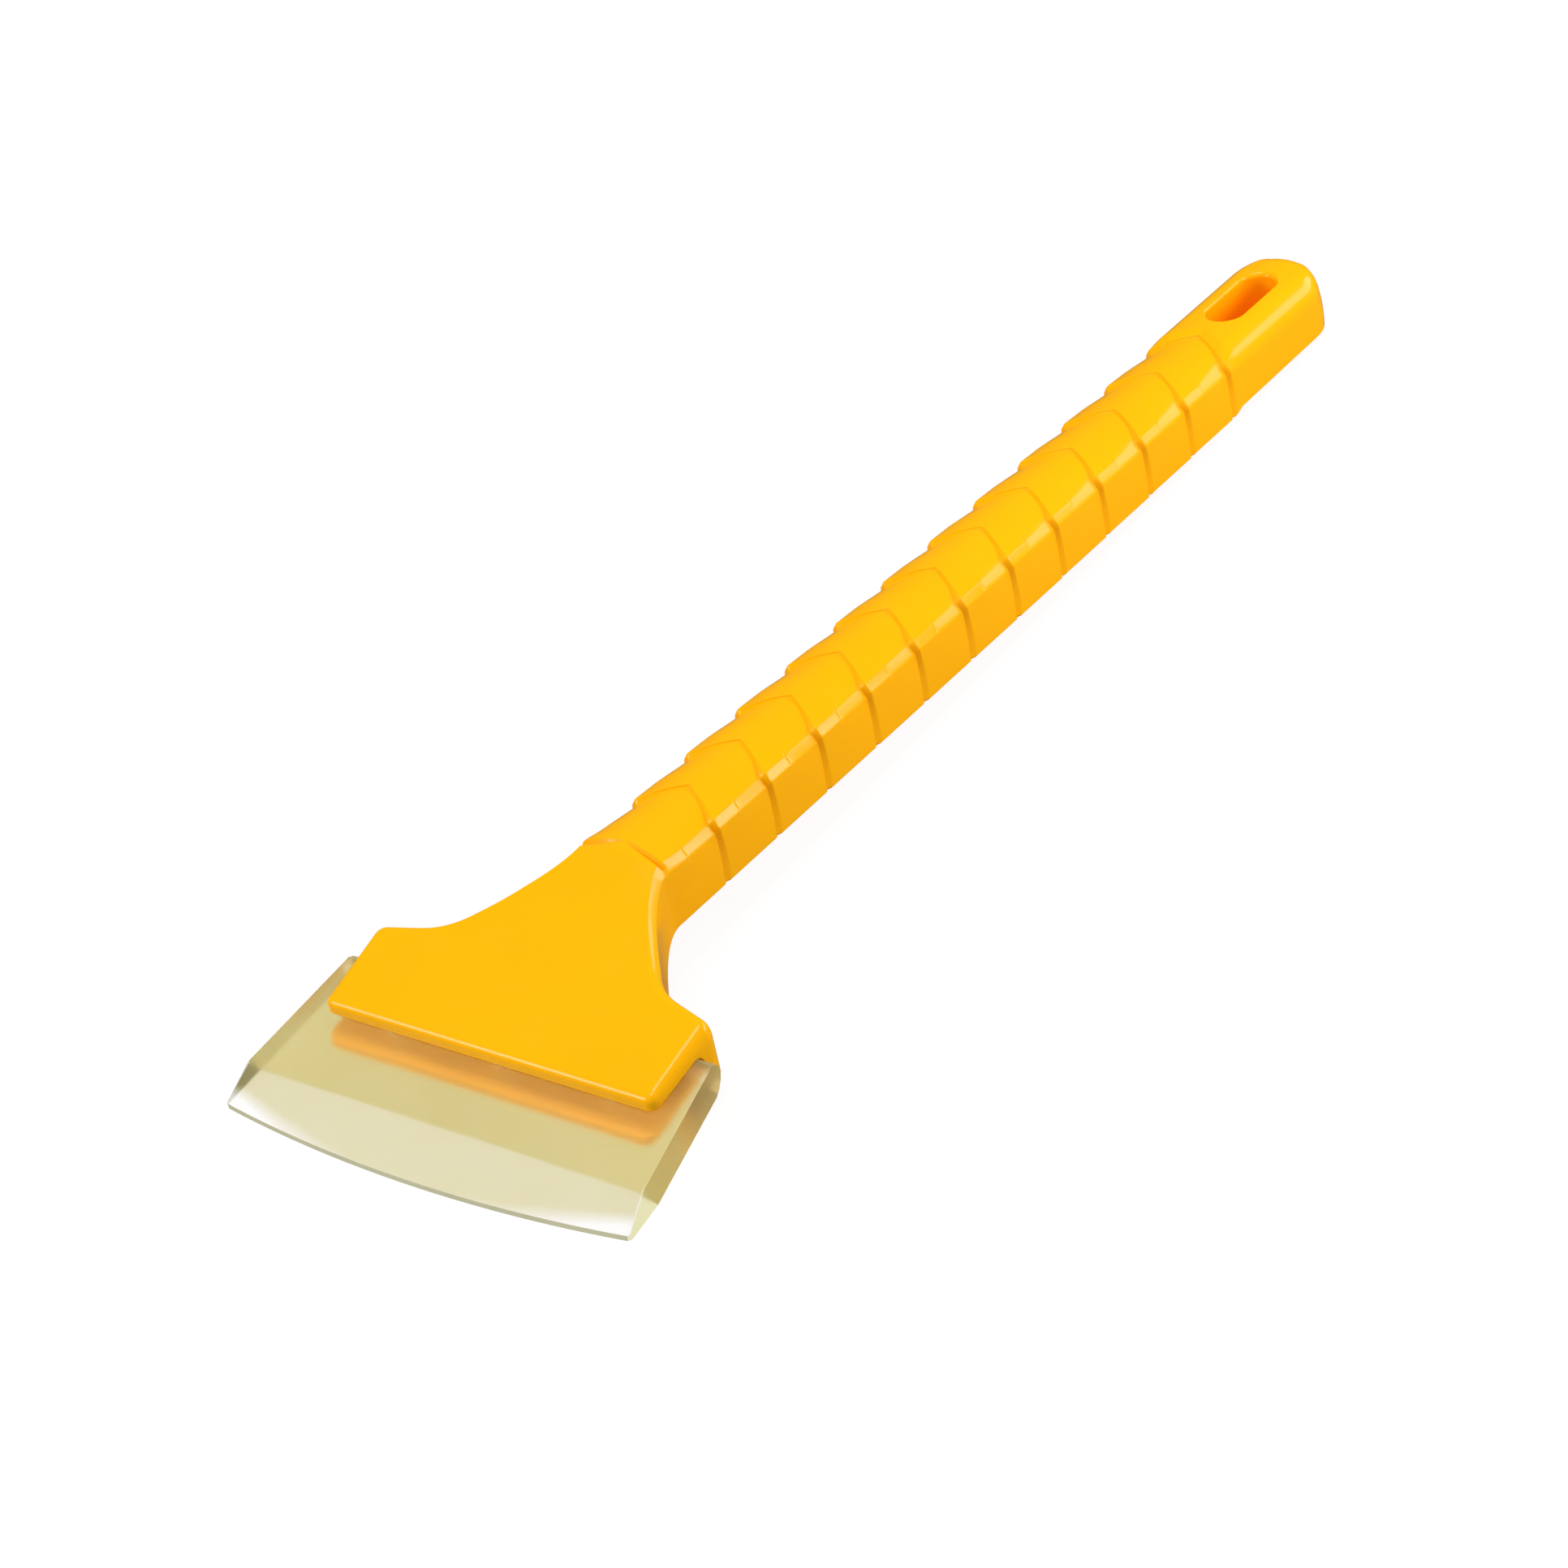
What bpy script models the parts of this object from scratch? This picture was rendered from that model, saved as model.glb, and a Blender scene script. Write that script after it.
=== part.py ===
"""Snow scraper: a hollow segmented grip whose flared head clamps a clear scraping blade.

The pieces are drawn in the handle's own frame: X across, Y from the neck towards the hanging slot, Z up,
with the origin on the neck line at the height of the grip's upper edges. An empty then lays the whole tool
down, on the blade's flat land and the end of the handle.
"""
import math

import bmesh
import bpy
from mathutils import Matrix, Vector

# Fits, cuts and facets
CLEARANCE = 0.0003
OVERRUN = 0.0030
MERGE_DISTANCE = 0.000003
FLAT_ANGLE = math.radians(0.1)
SMOOTH_ANGLE = math.radians(28.0)
ROUNDED_EDGE_ANGLE = math.radians(50.0)
ARC_STEPS = 3
TURN_STEPS = 24

# Grip
GRIP_LENGTH = 0.2237
SEGMENT_COUNT = 12
GRIP_WIDTH = 0.0243
GRIP_TOP_WIDTH = 0.0216
GRIP_DEPTH = 0.0155
TAPER_START = 0.1300
END_RISE = 0.0016
GRIP_CROWN = 0.0024
CHAMFER_DROP = 0.0021
FOOT_CHAMFER = 0.0004
CHEVRON_LEAD = 0.0063
STEP_DEPTH = 0.0012
# Where each ring lies along its segment, and how much of the step the surface has sunk there.
SEGMENT_SHARES = ((0.0, 0.0), (0.45, 0.45), (0.86, 1.0))
# Height of the crown between a top edge and the middle, as shares of the half width and of the crown.
CROWN_SHARES = ((0.72, 0.48), (0.38, 0.86), (0.0, 1.0))
FOOT_SINK_SHARE = 0.1
FLANK_SINK_SHARE = 0.5
CROWN_SINK_SHARE = 0.6

# Neck line, where the first segment stands proud of the head
NECK_LINE = 0.0009
NECK_BOW = 0.0017
NECK_STEP = 0.0003
NECK_RAMP = 0.0009
NECK_ROOT = 0.0040
NECK_TUCK = 0.0013

# Hanging end
END_LENGTH = 0.0498
END_CROWN = 0.0030
END_FOOT_CHAMFER = 0.0013
END_EDGE_RADIUS = 0.0055
END_DRAFT = math.radians(4.5)
END_CAP_ANGLE = math.radians(84.0)
END_STEPS = 7
SLOT_WIDTH = 0.0098
SLOT_LENGTH = 0.0240
SLOT_END_WALL = 0.0125
SLOT_RIM = 0.0014

# Head
HEAD_TILT = math.radians(16.4)
NECK_RISE = 0.0003
NECK_LENGTH = 0.0258
NECK_FLARE_WIDTH = 0.0590
NECK_FLARE_POWER = 1.43
NECK_STEPS = 9
NECK_FALL_Y = -0.0043
NECK_FALL_REACH = 0.0040
HEAD_WIDTH = 0.0902
HEAD_LENGTH = 0.0518
LIP_CORNER_RADIUS = 0.0025
REAR_WIDTH = 0.0916
REAR_BEND_WIDTH = 0.0702
REAR_BEND_DEPTH = 0.0275
REAR_CORNER_DEPTH = 0.0302
REAR_CORNER_RADIUS = 0.0020
HEAD_ROUNDING = 0.0016
LIP_THICKNESS = 0.0028
JAW_DEPTH = 0.0166

# Blade
BLADE_TILT = math.radians(13.9)
BLADE_THICKNESS = 0.0069
BLADE_REAR_WIDTH = 0.0988
BLADE_FRONT_WIDTH = 0.1106
BLADE_LENGTH = 0.0412
BLADE_BOW = 0.0043
BLADE_NOSE = 0.0024
BLADE_CORNER_RADIUS = 0.0011
BEVEL_LENGTH = 0.0083
BEVEL_BOW = 0.0016
LAND_LENGTH = 0.0112
EDGE_THICKNESS = 0.0013
BLADE_STATIONS = 12
# Rear edge of the blade from its top to its underside: shares of the nose length and of the thickness.
NOSE_SHARES = ((1.0, 0.0), (0.42, 0.12), (0.1, 0.3), (0.0, 0.5), (0.2, 0.7), (0.7, 0.9), (1.4, 1.0))
UPPER_NOSE_COUNT = 4

# Walls and back cover
SIDE_WALL = 0.0026
RIM_WALL = 0.0013
CEILING_DROP = 0.0034
CEILING_CROWN = 0.0024
HEAD_WALL = 0.0030
SLOT_WALL = 0.0045
COVER_THICKNESS = 0.0020
COVER_CORNER_RADIUS = 0.0010
LOWER_JAW_THICKNESS = 0.0017
LOWER_JAW_INSET = 0.0008
LOWER_JAW_REACH = 0.0016
LOWER_JAW_CORNER_RADIUS = 0.0025

# Screws and the bosses that they bite in
SCREW_RADIUS = 0.00145
SCREW_HEAD_RADIUS = 0.0027
SCREW_HEAD_HEIGHT = 0.0015
SCREW_HEAD_EDGE = 0.0003
SCREW_TIP_RADIUS = 0.0008
SCREW_TIP_LENGTH = 0.0012
JAW_SCREW_LENGTH = 0.0098
GRIP_SCREW_LENGTH = 0.0088
RECESS_WIDTH = 0.0007
RECESS_SPAN = 0.0030
RECESS_DEPTH = 0.0009
BOSS_RADIUS = 0.0035
BOSS_ROOT = 0.0015
BLADE_HOLE_SPARE = 0.0007
JAW_SCREW_INSET = 0.0150
GRIP_SCREW_INSET = 0.0200

# Sizes and places worked out from the ones above
SEGMENT_PITCH = GRIP_LENGTH / SEGMENT_COUNT
TIP_Y = GRIP_LENGTH + END_LENGTH
END_CENTRE_Y = TIP_Y - GRIP_WIDTH / 2
END_CAP_Y = END_CENTRE_Y + GRIP_WIDTH / 2 * math.sin(END_CAP_ANGLE)
SLOT_REAR_Y = TIP_Y - SLOT_END_WALL
SLOT_FRONT_Y = SLOT_REAR_Y - SLOT_LENGTH
CAVITY_END_Y = SLOT_FRONT_Y - SLOT_WALL
COVER_END_Y = CAVITY_END_Y + SIDE_WALL - RIM_WALL
NECK_WIDTH = GRIP_WIDTH - 2 * NECK_STEP
BLADE_REAR_Y = JAW_DEPTH - HEAD_LENGTH
BLADE_CORNER_Y = BLADE_REAR_Y - BLADE_LENGTH
HEEL_Y = BLADE_CORNER_Y + LAND_LENGTH
LOWER_JAW_Y = -HEAD_LENGTH - LOWER_JAW_REACH
LOWER_JAW_WIDTH = HEAD_WIDTH - 2 * LOWER_JAW_INSET
JAW_SCREW_Y = JAW_DEPTH / 2 - HEAD_LENGTH
JAW_SCREW_X = HEAD_WIDTH / 2 - JAW_SCREW_INSET
BLADE_DROP = BLADE_THICKNESS / math.cos(BLADE_TILT)
BLADE_GAP = CLEARANCE / math.cos(BLADE_TILT)
LOWER_JAW_DROP = LOWER_JAW_THICKNESS / math.cos(BLADE_TILT)
HIDDEN_DEPTH = GRIP_DEPTH + HEAD_LENGTH


def head_top(y):
    return NECK_RISE + math.tan(HEAD_TILT) * y


def blade_top(y):
    return head_top(-HEAD_LENGTH) - LIP_THICKNESS - BLADE_GAP + math.tan(BLADE_TILT) * (y + HEAD_LENGTH)


def blade_bottom(y):
    return blade_top(y) - BLADE_DROP


def lower_jaw_bottom(y):
    return blade_bottom(y) - BLADE_GAP - LOWER_JAW_DROP


HEEL_Z = blade_bottom(HEEL_Y)
TAPER_SLOPE = END_RISE / (TIP_Y - TAPER_START)
REST_SLOPE = (END_RISE - GRIP_DEPTH - HEEL_Z) / (TIP_Y - HEEL_Y)
UNDERSIDE_SLOPE = (-GRIP_DEPTH - lower_jaw_bottom(BLADE_REAR_Y)) / (NECK_FALL_Y - BLADE_REAR_Y)


def land(y):
    """Height of the surface that the tool rests on, which is the plane of the blade's lower land."""
    return HEEL_Z + REST_SLOPE * (y - HEEL_Y)


def grip_foot(y):
    """Height of the grip's lower edge, which is level and then rises towards the hanging end."""
    return TAPER_SLOPE * max(y - TAPER_START, 0) - GRIP_DEPTH


def underside():
    """Lower outline of the tool from past its end to past the front of the lower jaw, as (y, z) points."""
    points = [(TIP_Y + OVERRUN, grip_foot(TIP_Y + OVERRUN)), (TAPER_START, -GRIP_DEPTH)]
    for step in range(ARC_STEPS + 1):
        share = step / ARC_STEPS
        y = NECK_FALL_Y + NECK_FALL_REACH * (1 - 2 * share)
        points.append((y, -GRIP_DEPTH - UNDERSIDE_SLOPE * NECK_FALL_REACH * share ** 2))
    points.append((BLADE_REAR_Y, lower_jaw_bottom(BLADE_REAR_Y)))
    front = LOWER_JAW_Y - OVERRUN
    points.append((front, lower_jaw_bottom(front)))
    return points


def clear_scene():
    for old in list(bpy.data.objects):
        bpy.data.objects.remove(old, do_unlink=True)


def add_collection(name):
    collection = bpy.data.collections.new(name)
    bpy.context.scene.collection.children.link(collection)
    return collection


def add_object(name, mesh, collection):
    thing = bpy.data.objects.new(name, mesh)
    collection.objects.link(thing)
    return thing


def rounded(corners):
    """Outline from (point, radius) corners, with an arc in each corner that has a radius."""
    points = []
    for index, (corner, radius) in enumerate(corners):
        here = Vector(corner)
        if radius == 0:
            points.append(here)
            continue
        before = (Vector(corners[index - 1][0]) - here).normalized()
        after = (Vector(corners[(index + 1) % len(corners)][0]) - here).normalized()
        half_angle = before.angle(after) / 2
        centre = here + (before + after).normalized() * radius / math.sin(half_angle)
        start = here + before * radius / math.tan(half_angle) - centre
        end = here + after * radius / math.tan(half_angle) - centre
        turn = math.atan2(start.x * end.y - start.y * end.x, start.dot(end))
        for step in range(ARC_STEPS + 1):
            points.append(centre + Matrix.Rotation(turn * step / ARC_STEPS, 2) @ start)
    return points


def mirrored(half):
    """Closed outline from the (point, radius) corners of its right half, front to rear."""
    left = [((-point[0], point[1]), radius) for point, radius in reversed(half) if point[0] > 0]
    return rounded(half + left)


def mesh_of(thing):
    """Mesh of an object with its modifiers, or of a curve with its caps welded on."""
    bpy.context.view_layer.update()
    evaluated = thing.evaluated_get(bpy.context.evaluated_depsgraph_get())
    mesh = bpy.data.meshes.new_from_object(evaluated)
    shape = bmesh.new()
    shape.from_mesh(mesh)
    bmesh.ops.remove_doubles(shape, verts=shape.verts, dist=MERGE_DISTANCE)
    bmesh.ops.dissolve_limit(shape, angle_limit=FLAT_ANGLE, verts=shape.verts, edges=shape.edges)
    shape.to_mesh(mesh)
    shape.free()
    return mesh


def slab(name, outline, thickness, collection, turn=None):
    """Solid of a flat outline, centred on the outline's plane and turned into place."""
    curve = bpy.data.curves.new(name, "CURVE")
    curve.dimensions = "2D"
    curve.fill_mode = "BOTH"
    curve.extrude = thickness / 2
    spline = curve.splines.new("POLY")
    spline.points.add(len(outline) - 1)
    for point, place in zip(spline.points, outline):
        point.co = (place[0], place[1], 0, 1)
    spline.use_cyclic_u = True
    drawn = add_object(name + "_outline", curve, collection)
    drawn.matrix_world = turn or Matrix()
    solid = add_object(name, mesh_of(drawn), collection)
    solid.matrix_world = drawn.matrix_world
    bpy.data.objects.remove(drawn, do_unlink=True)
    return solid


def side_slab(name, outline, width, collection):
    """Solid of a (y, z) outline that runs across the tool."""
    turn = Matrix.Rotation(math.pi / 2, 4, "Z") @ Matrix.Rotation(math.pi / 2, 4, "X")
    return slab(name, outline, width, collection, turn)


def slanted_slab(name, outline, top, bottom, collection):
    """Solid of an (x, y) outline whose upper and lower faces follow straight lines along Y."""
    solid = slab(name, outline, OVERRUN, collection)
    for vertex in solid.data.vertices:
        vertex.co.z = top(vertex.co.y) if vertex.co.z > 0 else bottom(vertex.co.y)
    return solid


def loft(name, rings, collection):
    """Solid through rings of equally many points, with a face across the first and the last ring."""
    shape = bmesh.new()
    rows = [[shape.verts.new(point) for point in ring] for ring in rings]
    for row, following in zip(rows, rows[1:]):
        for index in range(len(row)):
            after = (index + 1) % len(row)
            shape.faces.new((row[index], row[after], following[after], following[index]))
    shape.faces.new(rows[0])
    shape.faces.new(rows[-1])
    bmesh.ops.recalc_face_normals(shape, faces=shape.faces)
    mesh = bpy.data.meshes.new(name)
    shape.to_mesh(mesh)
    shape.free()
    return add_object(name, mesh, collection)


def cylinder(name, radius, low, high, place, collection):
    """Round bar between two heights on the axis of a place matrix."""
    shape = bmesh.new()
    middle = Matrix.Translation((0, 0, (low + high) / 2))
    bmesh.ops.create_cone(shape, cap_ends=True, segments=TURN_STEPS, radius1=radius, radius2=radius,
                          depth=high - low, matrix=middle)
    mesh = bpy.data.meshes.new(name)
    shape.to_mesh(mesh)
    shape.free()
    bar = add_object(name, mesh, collection)
    bar.matrix_world = place
    return bar


def turned(name, profile, place, collection):
    """Solid turned from a (radius, z) profile that runs from its top down the outer side."""
    mesh = bpy.data.meshes.new(name)
    edges = [(index, index + 1) for index in range(len(profile) - 1)]
    mesh.from_pydata([(radius, 0, z) for radius, z in profile], edges, [])
    solid = add_object(name, mesh, collection)
    spin = solid.modifiers.new("turn", "SCREW")
    spin.axis = "Z"
    spin.steps = TURN_STEPS
    spin.render_steps = TURN_STEPS
    spin.use_merge_vertices = True
    spin.merge_threshold = MERGE_DISTANCE
    solid.matrix_world = place
    return solid


def combine(thing, other, operation):
    step = thing.modifiers.new(other.name, "BOOLEAN")
    step.operation = operation
    step.object = other
    step.solver = "EXACT"


def crossed(name, plan, side, collection):
    """Solid that has one outline from above and another from the side."""
    solid = slab(name + "_plan", plan, 2 * HIDDEN_DEPTH, collection)
    profile = side_slab(name + "_side", side, HEAD_WIDTH + 2 * OVERRUN, collection)
    combine(solid, profile, "INTERSECT")
    mesh = mesh_of(solid)
    for helper in (solid, profile):
        bpy.data.objects.remove(helper, do_unlink=True)
    return add_object(name, mesh, collection)


def grip_ring(y, sink=0.0, lead=0.0, crown=GRIP_CROWN, edge=0.0, foot=FOOT_CHAMFER, width_share=1.0):
    """Section of the grip at y: sink is in steps, lead moves its middle along, edge lifts its top edges."""
    step = STEP_DEPTH * sink
    top = GRIP_TOP_WIDTH / 2 - step
    half = [
        (GRIP_WIDTH / 2 - foot - OVERRUN, grip_foot(y) - OVERRUN, 0.0),
        (GRIP_WIDTH / 2 - step * FOOT_SINK_SHARE, grip_foot(y) + foot, 0.0),
        (GRIP_WIDTH / 2 - step * FLANK_SINK_SHARE, edge / 2 - CHAMFER_DROP, 0.0),
        (top, edge - step, 0.0),
    ]
    middle_height = crown - step * CROWN_SINK_SHARE
    for width, height in CROWN_SHARES:
        z = (edge - step) * (1 - height) + middle_height * height
        half.append((top * width, z, lead * (1 - width)))
    right = [(x * width_share, y + ahead, z) for x, z, ahead in half]
    left = [(-x, along, z) for x, along, z in reversed(right[:-1])]
    return right + left


def neck_rings():
    """Rings from inside the head out to the neck line, where the first segment starts."""
    buried = head_top(NECK_LINE - NECK_RAMP) - NECK_STEP
    deep = head_top(-NECK_ROOT) - NECK_STEP
    lifted = head_top(NECK_LINE) + NECK_STEP
    yield grip_ring(-NECK_ROOT, sink=1.0, crown=deep, edge=deep)
    yield grip_ring(NECK_LINE - NECK_RAMP, sink=1.0, lead=NECK_BOW, crown=buried, edge=buried)
    yield grip_ring(NECK_LINE, lead=NECK_BOW, edge=lifted)


def segment_rings():
    for segment in range(SEGMENT_COUNT):
        for along, sink in SEGMENT_SHARES:
            if segment == 0 and along == 0:
                continue
            yield grip_ring((segment + along) * SEGMENT_PITCH, sink=sink, lead=CHEVRON_LEAD)


def end_rings():
    """Rings of the plain end that holds the hanging slot, and round its tip."""
    yield grip_ring(GRIP_LENGTH, lead=CHEVRON_LEAD)
    yield grip_ring((GRIP_LENGTH + SLOT_FRONT_Y) / 2, lead=CHEVRON_LEAD / 2, crown=END_CROWN)
    yield grip_ring(SLOT_FRONT_Y, crown=END_CROWN, edge=END_CROWN - GRIP_CROWN, foot=END_FOOT_CHAMFER)
    for step in range(END_STEPS + 1):
        angle = END_CAP_ANGLE * step / END_STEPS
        y = END_CENTRE_Y + GRIP_WIDTH / 2 * math.sin(angle)
        inside = min(TIP_Y - y, END_EDGE_RADIUS)
        fall = END_EDGE_RADIUS - math.sqrt(END_EDGE_RADIUS ** 2 - (END_EDGE_RADIUS - inside) ** 2)
        upright = grip_ring(y, crown=END_CROWN - fall, edge=END_CROWN - GRIP_CROWN - fall,
                            foot=END_FOOT_CHAMFER, width_share=math.cos(angle))
        lean = math.tan(END_DRAFT) * math.sin(angle)
        yield [(x, along - lean * (z - grip_foot(y)), z) for x, along, z in upright]


def neck_half_width(y):
    reach = -y / NECK_LENGTH
    return (NECK_WIDTH + (NECK_FLARE_WIDTH - NECK_WIDTH) * reach ** NECK_FLARE_POWER) / 2


def drawn_in(outline, inset):
    """Corners between the two ends of an outline, moved to its left by an even wall."""
    moved = []
    for before, here, after in zip(outline, outline[1:], outline[2:]):
        first = (here - before).normalized().orthogonal()
        second = (after - here).normalized().orthogonal()
        moved.append(here + (first + second) * inset / (1 + first.dot(second)))
    return moved


def head_side(inset, front):
    """Right half of the head's outline from its front to the neck line, drawn in by an even wall."""
    outline = [
        Vector((HEAD_WIDTH / 2, -HEAD_LENGTH)),
        Vector((REAR_WIDTH / 2, -REAR_CORNER_DEPTH)),
        Vector((REAR_BEND_WIDTH / 2, -REAR_BEND_DEPTH)),
    ]
    for step in range(NECK_STEPS + 1):
        y = NECK_LENGTH * (step / NECK_STEPS - 1)
        outline.append(Vector((neck_half_width(y), y)))
    outline.append(Vector((NECK_WIDTH / 2, GRIP_LENGTH)))
    corners = drawn_in(outline, inset)
    return [front, (corners[0], REAR_CORNER_RADIUS)] + [(corner, 0) for corner in corners[1:]]


def add_head(collection):
    """Head block with its rounded upper edge; its rear end is buried in the first segment."""
    half = head_side(0, ((HEAD_WIDTH / 2, -HEAD_LENGTH), LIP_CORNER_RADIUS))
    half.append(((NECK_WIDTH / 2 - NECK_TUCK, NECK_LINE), 0))
    half.append(((0, NECK_LINE + NECK_BOW), 0))
    head = slanted_slab("head_block", mirrored(half), head_top, lambda y: -HIDDEN_DEPTH, collection)
    rounding = head.modifiers.new("rounding", "BEVEL")
    rounding.width = HEAD_ROUNDING
    rounding.segments = 2
    rounding.limit_method = "ANGLE"
    rounding.angle_limit = ROUNDED_EDGE_ANGLE
    return head


def nose(gap):
    """Rear edge of the blade, or of the space that holds it, as (y, z) points from top to bottom."""
    points = []
    for back, down in NOSE_SHARES:
        y = BLADE_REAR_Y - BLADE_NOSE * back + gap
        points.append((y, blade_top(y) + gap + down * -(BLADE_DROP + 2 * gap)))
    return points


def add_undercut(collection):
    """Everything below the handle moulding: the flat underside and the blade's space between the jaws."""
    rim_y = BLADE_REAR_Y + CLEARANCE
    outline = [point for point in underside() if point[0] > rim_y]
    share = (rim_y - outline[-1][0]) / (BLADE_REAR_Y - outline[-1][0])
    rim_z = outline[-1][1] + share * (lower_jaw_bottom(BLADE_REAR_Y) - outline[-1][1])
    outline.append((rim_y, rim_z))
    outline.extend(reversed(nose(BLADE_GAP)[:UPPER_NOSE_COUNT]))
    front = -HEAD_LENGTH - OVERRUN
    outline.append((front, blade_top(front) + BLADE_GAP))
    outline.append((front, -HIDDEN_DEPTH - OVERRUN))
    outline.append((TIP_Y + OVERRUN, -HIDDEN_DEPTH - OVERRUN))
    return side_slab("undercut", outline, BLADE_FRONT_WIDTH, collection)


def cover_plan(inset, jaw_width, jaw_y, step_y, end_y):
    """Outline of the back cover or of its seat, from above: lower jaw, head, neck and grip."""
    half = [((jaw_width / 2, jaw_y), LOWER_JAW_CORNER_RADIUS), ((jaw_width / 2, step_y), 0)]
    half += head_side(inset, ((HEAD_WIDTH / 2 - inset, step_y), 0))
    half.append(((NECK_WIDTH / 2 - inset, end_y), COVER_CORNER_RADIUS))
    return mirrored(half)


def cover_upper_side(gap):
    """Upper outline of the back cover from past its end to past the lower jaw, as (y, z) points."""
    upper = [(y, z + COVER_THICKNESS + gap) for y, z in underside()[:-2]]
    heel_y = BLADE_REAR_Y - BLADE_NOSE * NOSE_SHARES[-1][0]
    rest_y = heel_y - CLEARANCE
    plate = underside()[-2]
    upper.append((plate[0], plate[1] + COVER_THICKNESS + gap))
    upper.append((rest_y, blade_bottom(rest_y) - BLADE_GAP + gap))
    front = LOWER_JAW_Y - OVERRUN
    upper.append((front, blade_bottom(front) - BLADE_GAP + gap))
    return upper


def add_cover(collection):
    plan = cover_plan(RIM_WALL + CLEARANCE, LOWER_JAW_WIDTH, LOWER_JAW_Y,
                      BLADE_REAR_Y, COVER_END_Y - CLEARANCE)
    side = underside() + list(reversed(cover_upper_side(0)))
    return crossed("back_cover", plan, side, collection)


def add_cover_seat(collection):
    """Space that the cover fills in the handle moulding, open below."""
    plan = cover_plan(RIM_WALL, HEAD_WIDTH - 2 * RIM_WALL + CLEARANCE, -HEAD_LENGTH,
                      BLADE_REAR_Y - CLEARANCE, COVER_END_Y)
    upper = cover_upper_side(CLEARANCE)
    side = [(upper[0][0], -HIDDEN_DEPTH), (upper[-1][0], -HIDDEN_DEPTH)] + list(reversed(upper))
    return crossed("cover_seat", plan, side, collection)


def add_grip_cavity(collection):
    half_width = NECK_WIDTH / 2 - SIDE_WALL
    half = [(half_width, -GRIP_DEPTH - OVERRUN), (half_width, -CEILING_DROP)]
    half += [(half_width * width, CEILING_CROWN * height - CEILING_DROP) for width, height in CROWN_SHARES]
    outline = half + [(-x, z) for x, z in reversed(half[:-1])]
    front = NECK_LINE + NECK_BOW + NECK_RAMP
    turn = Matrix.Translation((0, (front + CAVITY_END_Y) / 2, 0)) @ Matrix.Rotation(math.pi / 2, 4, "X")
    return slab("grip_cavity", outline, CAVITY_END_Y - front, collection, turn)


def add_head_cavity(collection):
    half = head_side(SIDE_WALL, ((HEAD_WIDTH / 2 - SIDE_WALL, BLADE_REAR_Y - CLEARANCE * 2), 0))
    half.append(((NECK_WIDTH / 2 - SIDE_WALL, NECK_LINE + NECK_BOW + 2 * NECK_RAMP), 0))
    return slanted_slab("head_cavity", mirrored(half), lambda y: head_top(y) - HEAD_WALL,
                        lambda y: -HIDDEN_DEPTH, collection)


def slot_ring(spare, z):
    """Outline of the hanging slot at height z, with spare room all round."""
    radius = SLOT_WIDTH / 2 + spare
    ring = []
    for centre, start in ((SLOT_REAR_Y - SLOT_WIDTH / 2, 0.0), (SLOT_FRONT_Y + SLOT_WIDTH / 2, math.pi)):
        for step in range(TURN_STEPS // 2 + 1):
            angle = start + math.pi * step / (TURN_STEPS // 2)
            ring.append((radius * math.cos(angle), centre + radius * math.sin(angle), z))
    return ring


def add_slot_cutter(collection):
    """The hanging slot, flared towards the top by its rounded rim."""
    rings = [slot_ring(0, -GRIP_DEPTH - OVERRUN)]
    for step in range(ARC_STEPS + 1):
        angle = math.pi / 2 * step / ARC_STEPS
        depth = SLOT_RIM * (1 - math.sin(angle))
        rings.append(slot_ring(SLOT_RIM * (1 - math.cos(angle)), END_CROWN - depth))
    rings.append(slot_ring(SLOT_RIM, END_CROWN + OVERRUN))
    return loft("hanging_slot", rings, collection)


def jaw_screw_frames():
    """Places of the screws under the lower jaw: square to the blade, with their heads flush below."""
    z = lower_jaw_bottom(JAW_SCREW_Y)
    turn = Matrix.Rotation(BLADE_TILT, 4, "X")
    places = {"left": -JAW_SCREW_X, "middle": 0, "right": JAW_SCREW_X}
    return {name: Matrix.Translation((x, JAW_SCREW_Y, z)) @ turn for name, x in places.items()}


def grip_screw_frames():
    """Places of the screws in the cover under the grip, with their heads flush below."""
    places = {"front": GRIP_SCREW_INSET, "middle": GRIP_LENGTH / 2, "rear": GRIP_LENGTH - GRIP_SCREW_INSET}
    frames = {}
    for name, y in places.items():
        tilt = math.atan(TAPER_SLOPE) if y > TAPER_START else 0
        frames[name] = Matrix.Translation((0, y, grip_foot(y))) @ Matrix.Rotation(tilt, 4, "X")
    return frames


def screw_profile(length, spare, below):
    """Countersunk screw with its head down, or the hole that takes it, from its tip down its outer side."""
    return [
        (0, length + spare),
        (SCREW_TIP_RADIUS + spare, length + spare),
        (SCREW_RADIUS + spare, length + spare - SCREW_TIP_LENGTH),
        (SCREW_RADIUS + spare, SCREW_HEAD_HEIGHT),
        (SCREW_HEAD_RADIUS + spare, SCREW_HEAD_EDGE),
        (SCREW_HEAD_RADIUS + spare, -below),
        (0, -below),
    ]


def add_recess(collection):
    """Cross recess of a screw head."""
    bars = []
    spans = (("recess_x", RECESS_SPAN, RECESS_WIDTH), ("recess_y", RECESS_WIDTH, RECESS_SPAN))
    for name, x_span, y_span in spans:
        shape = bmesh.new()
        size = Matrix.Diagonal((x_span, y_span, 2 * RECESS_DEPTH, 1))
        bmesh.ops.create_cube(shape, size=1, matrix=size)
        mesh = bpy.data.meshes.new(name)
        shape.to_mesh(mesh)
        shape.free()
        bars.append(add_object(name, mesh, collection))
    combine(bars[0], bars[1], "UNION")
    return bars[0]


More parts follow.
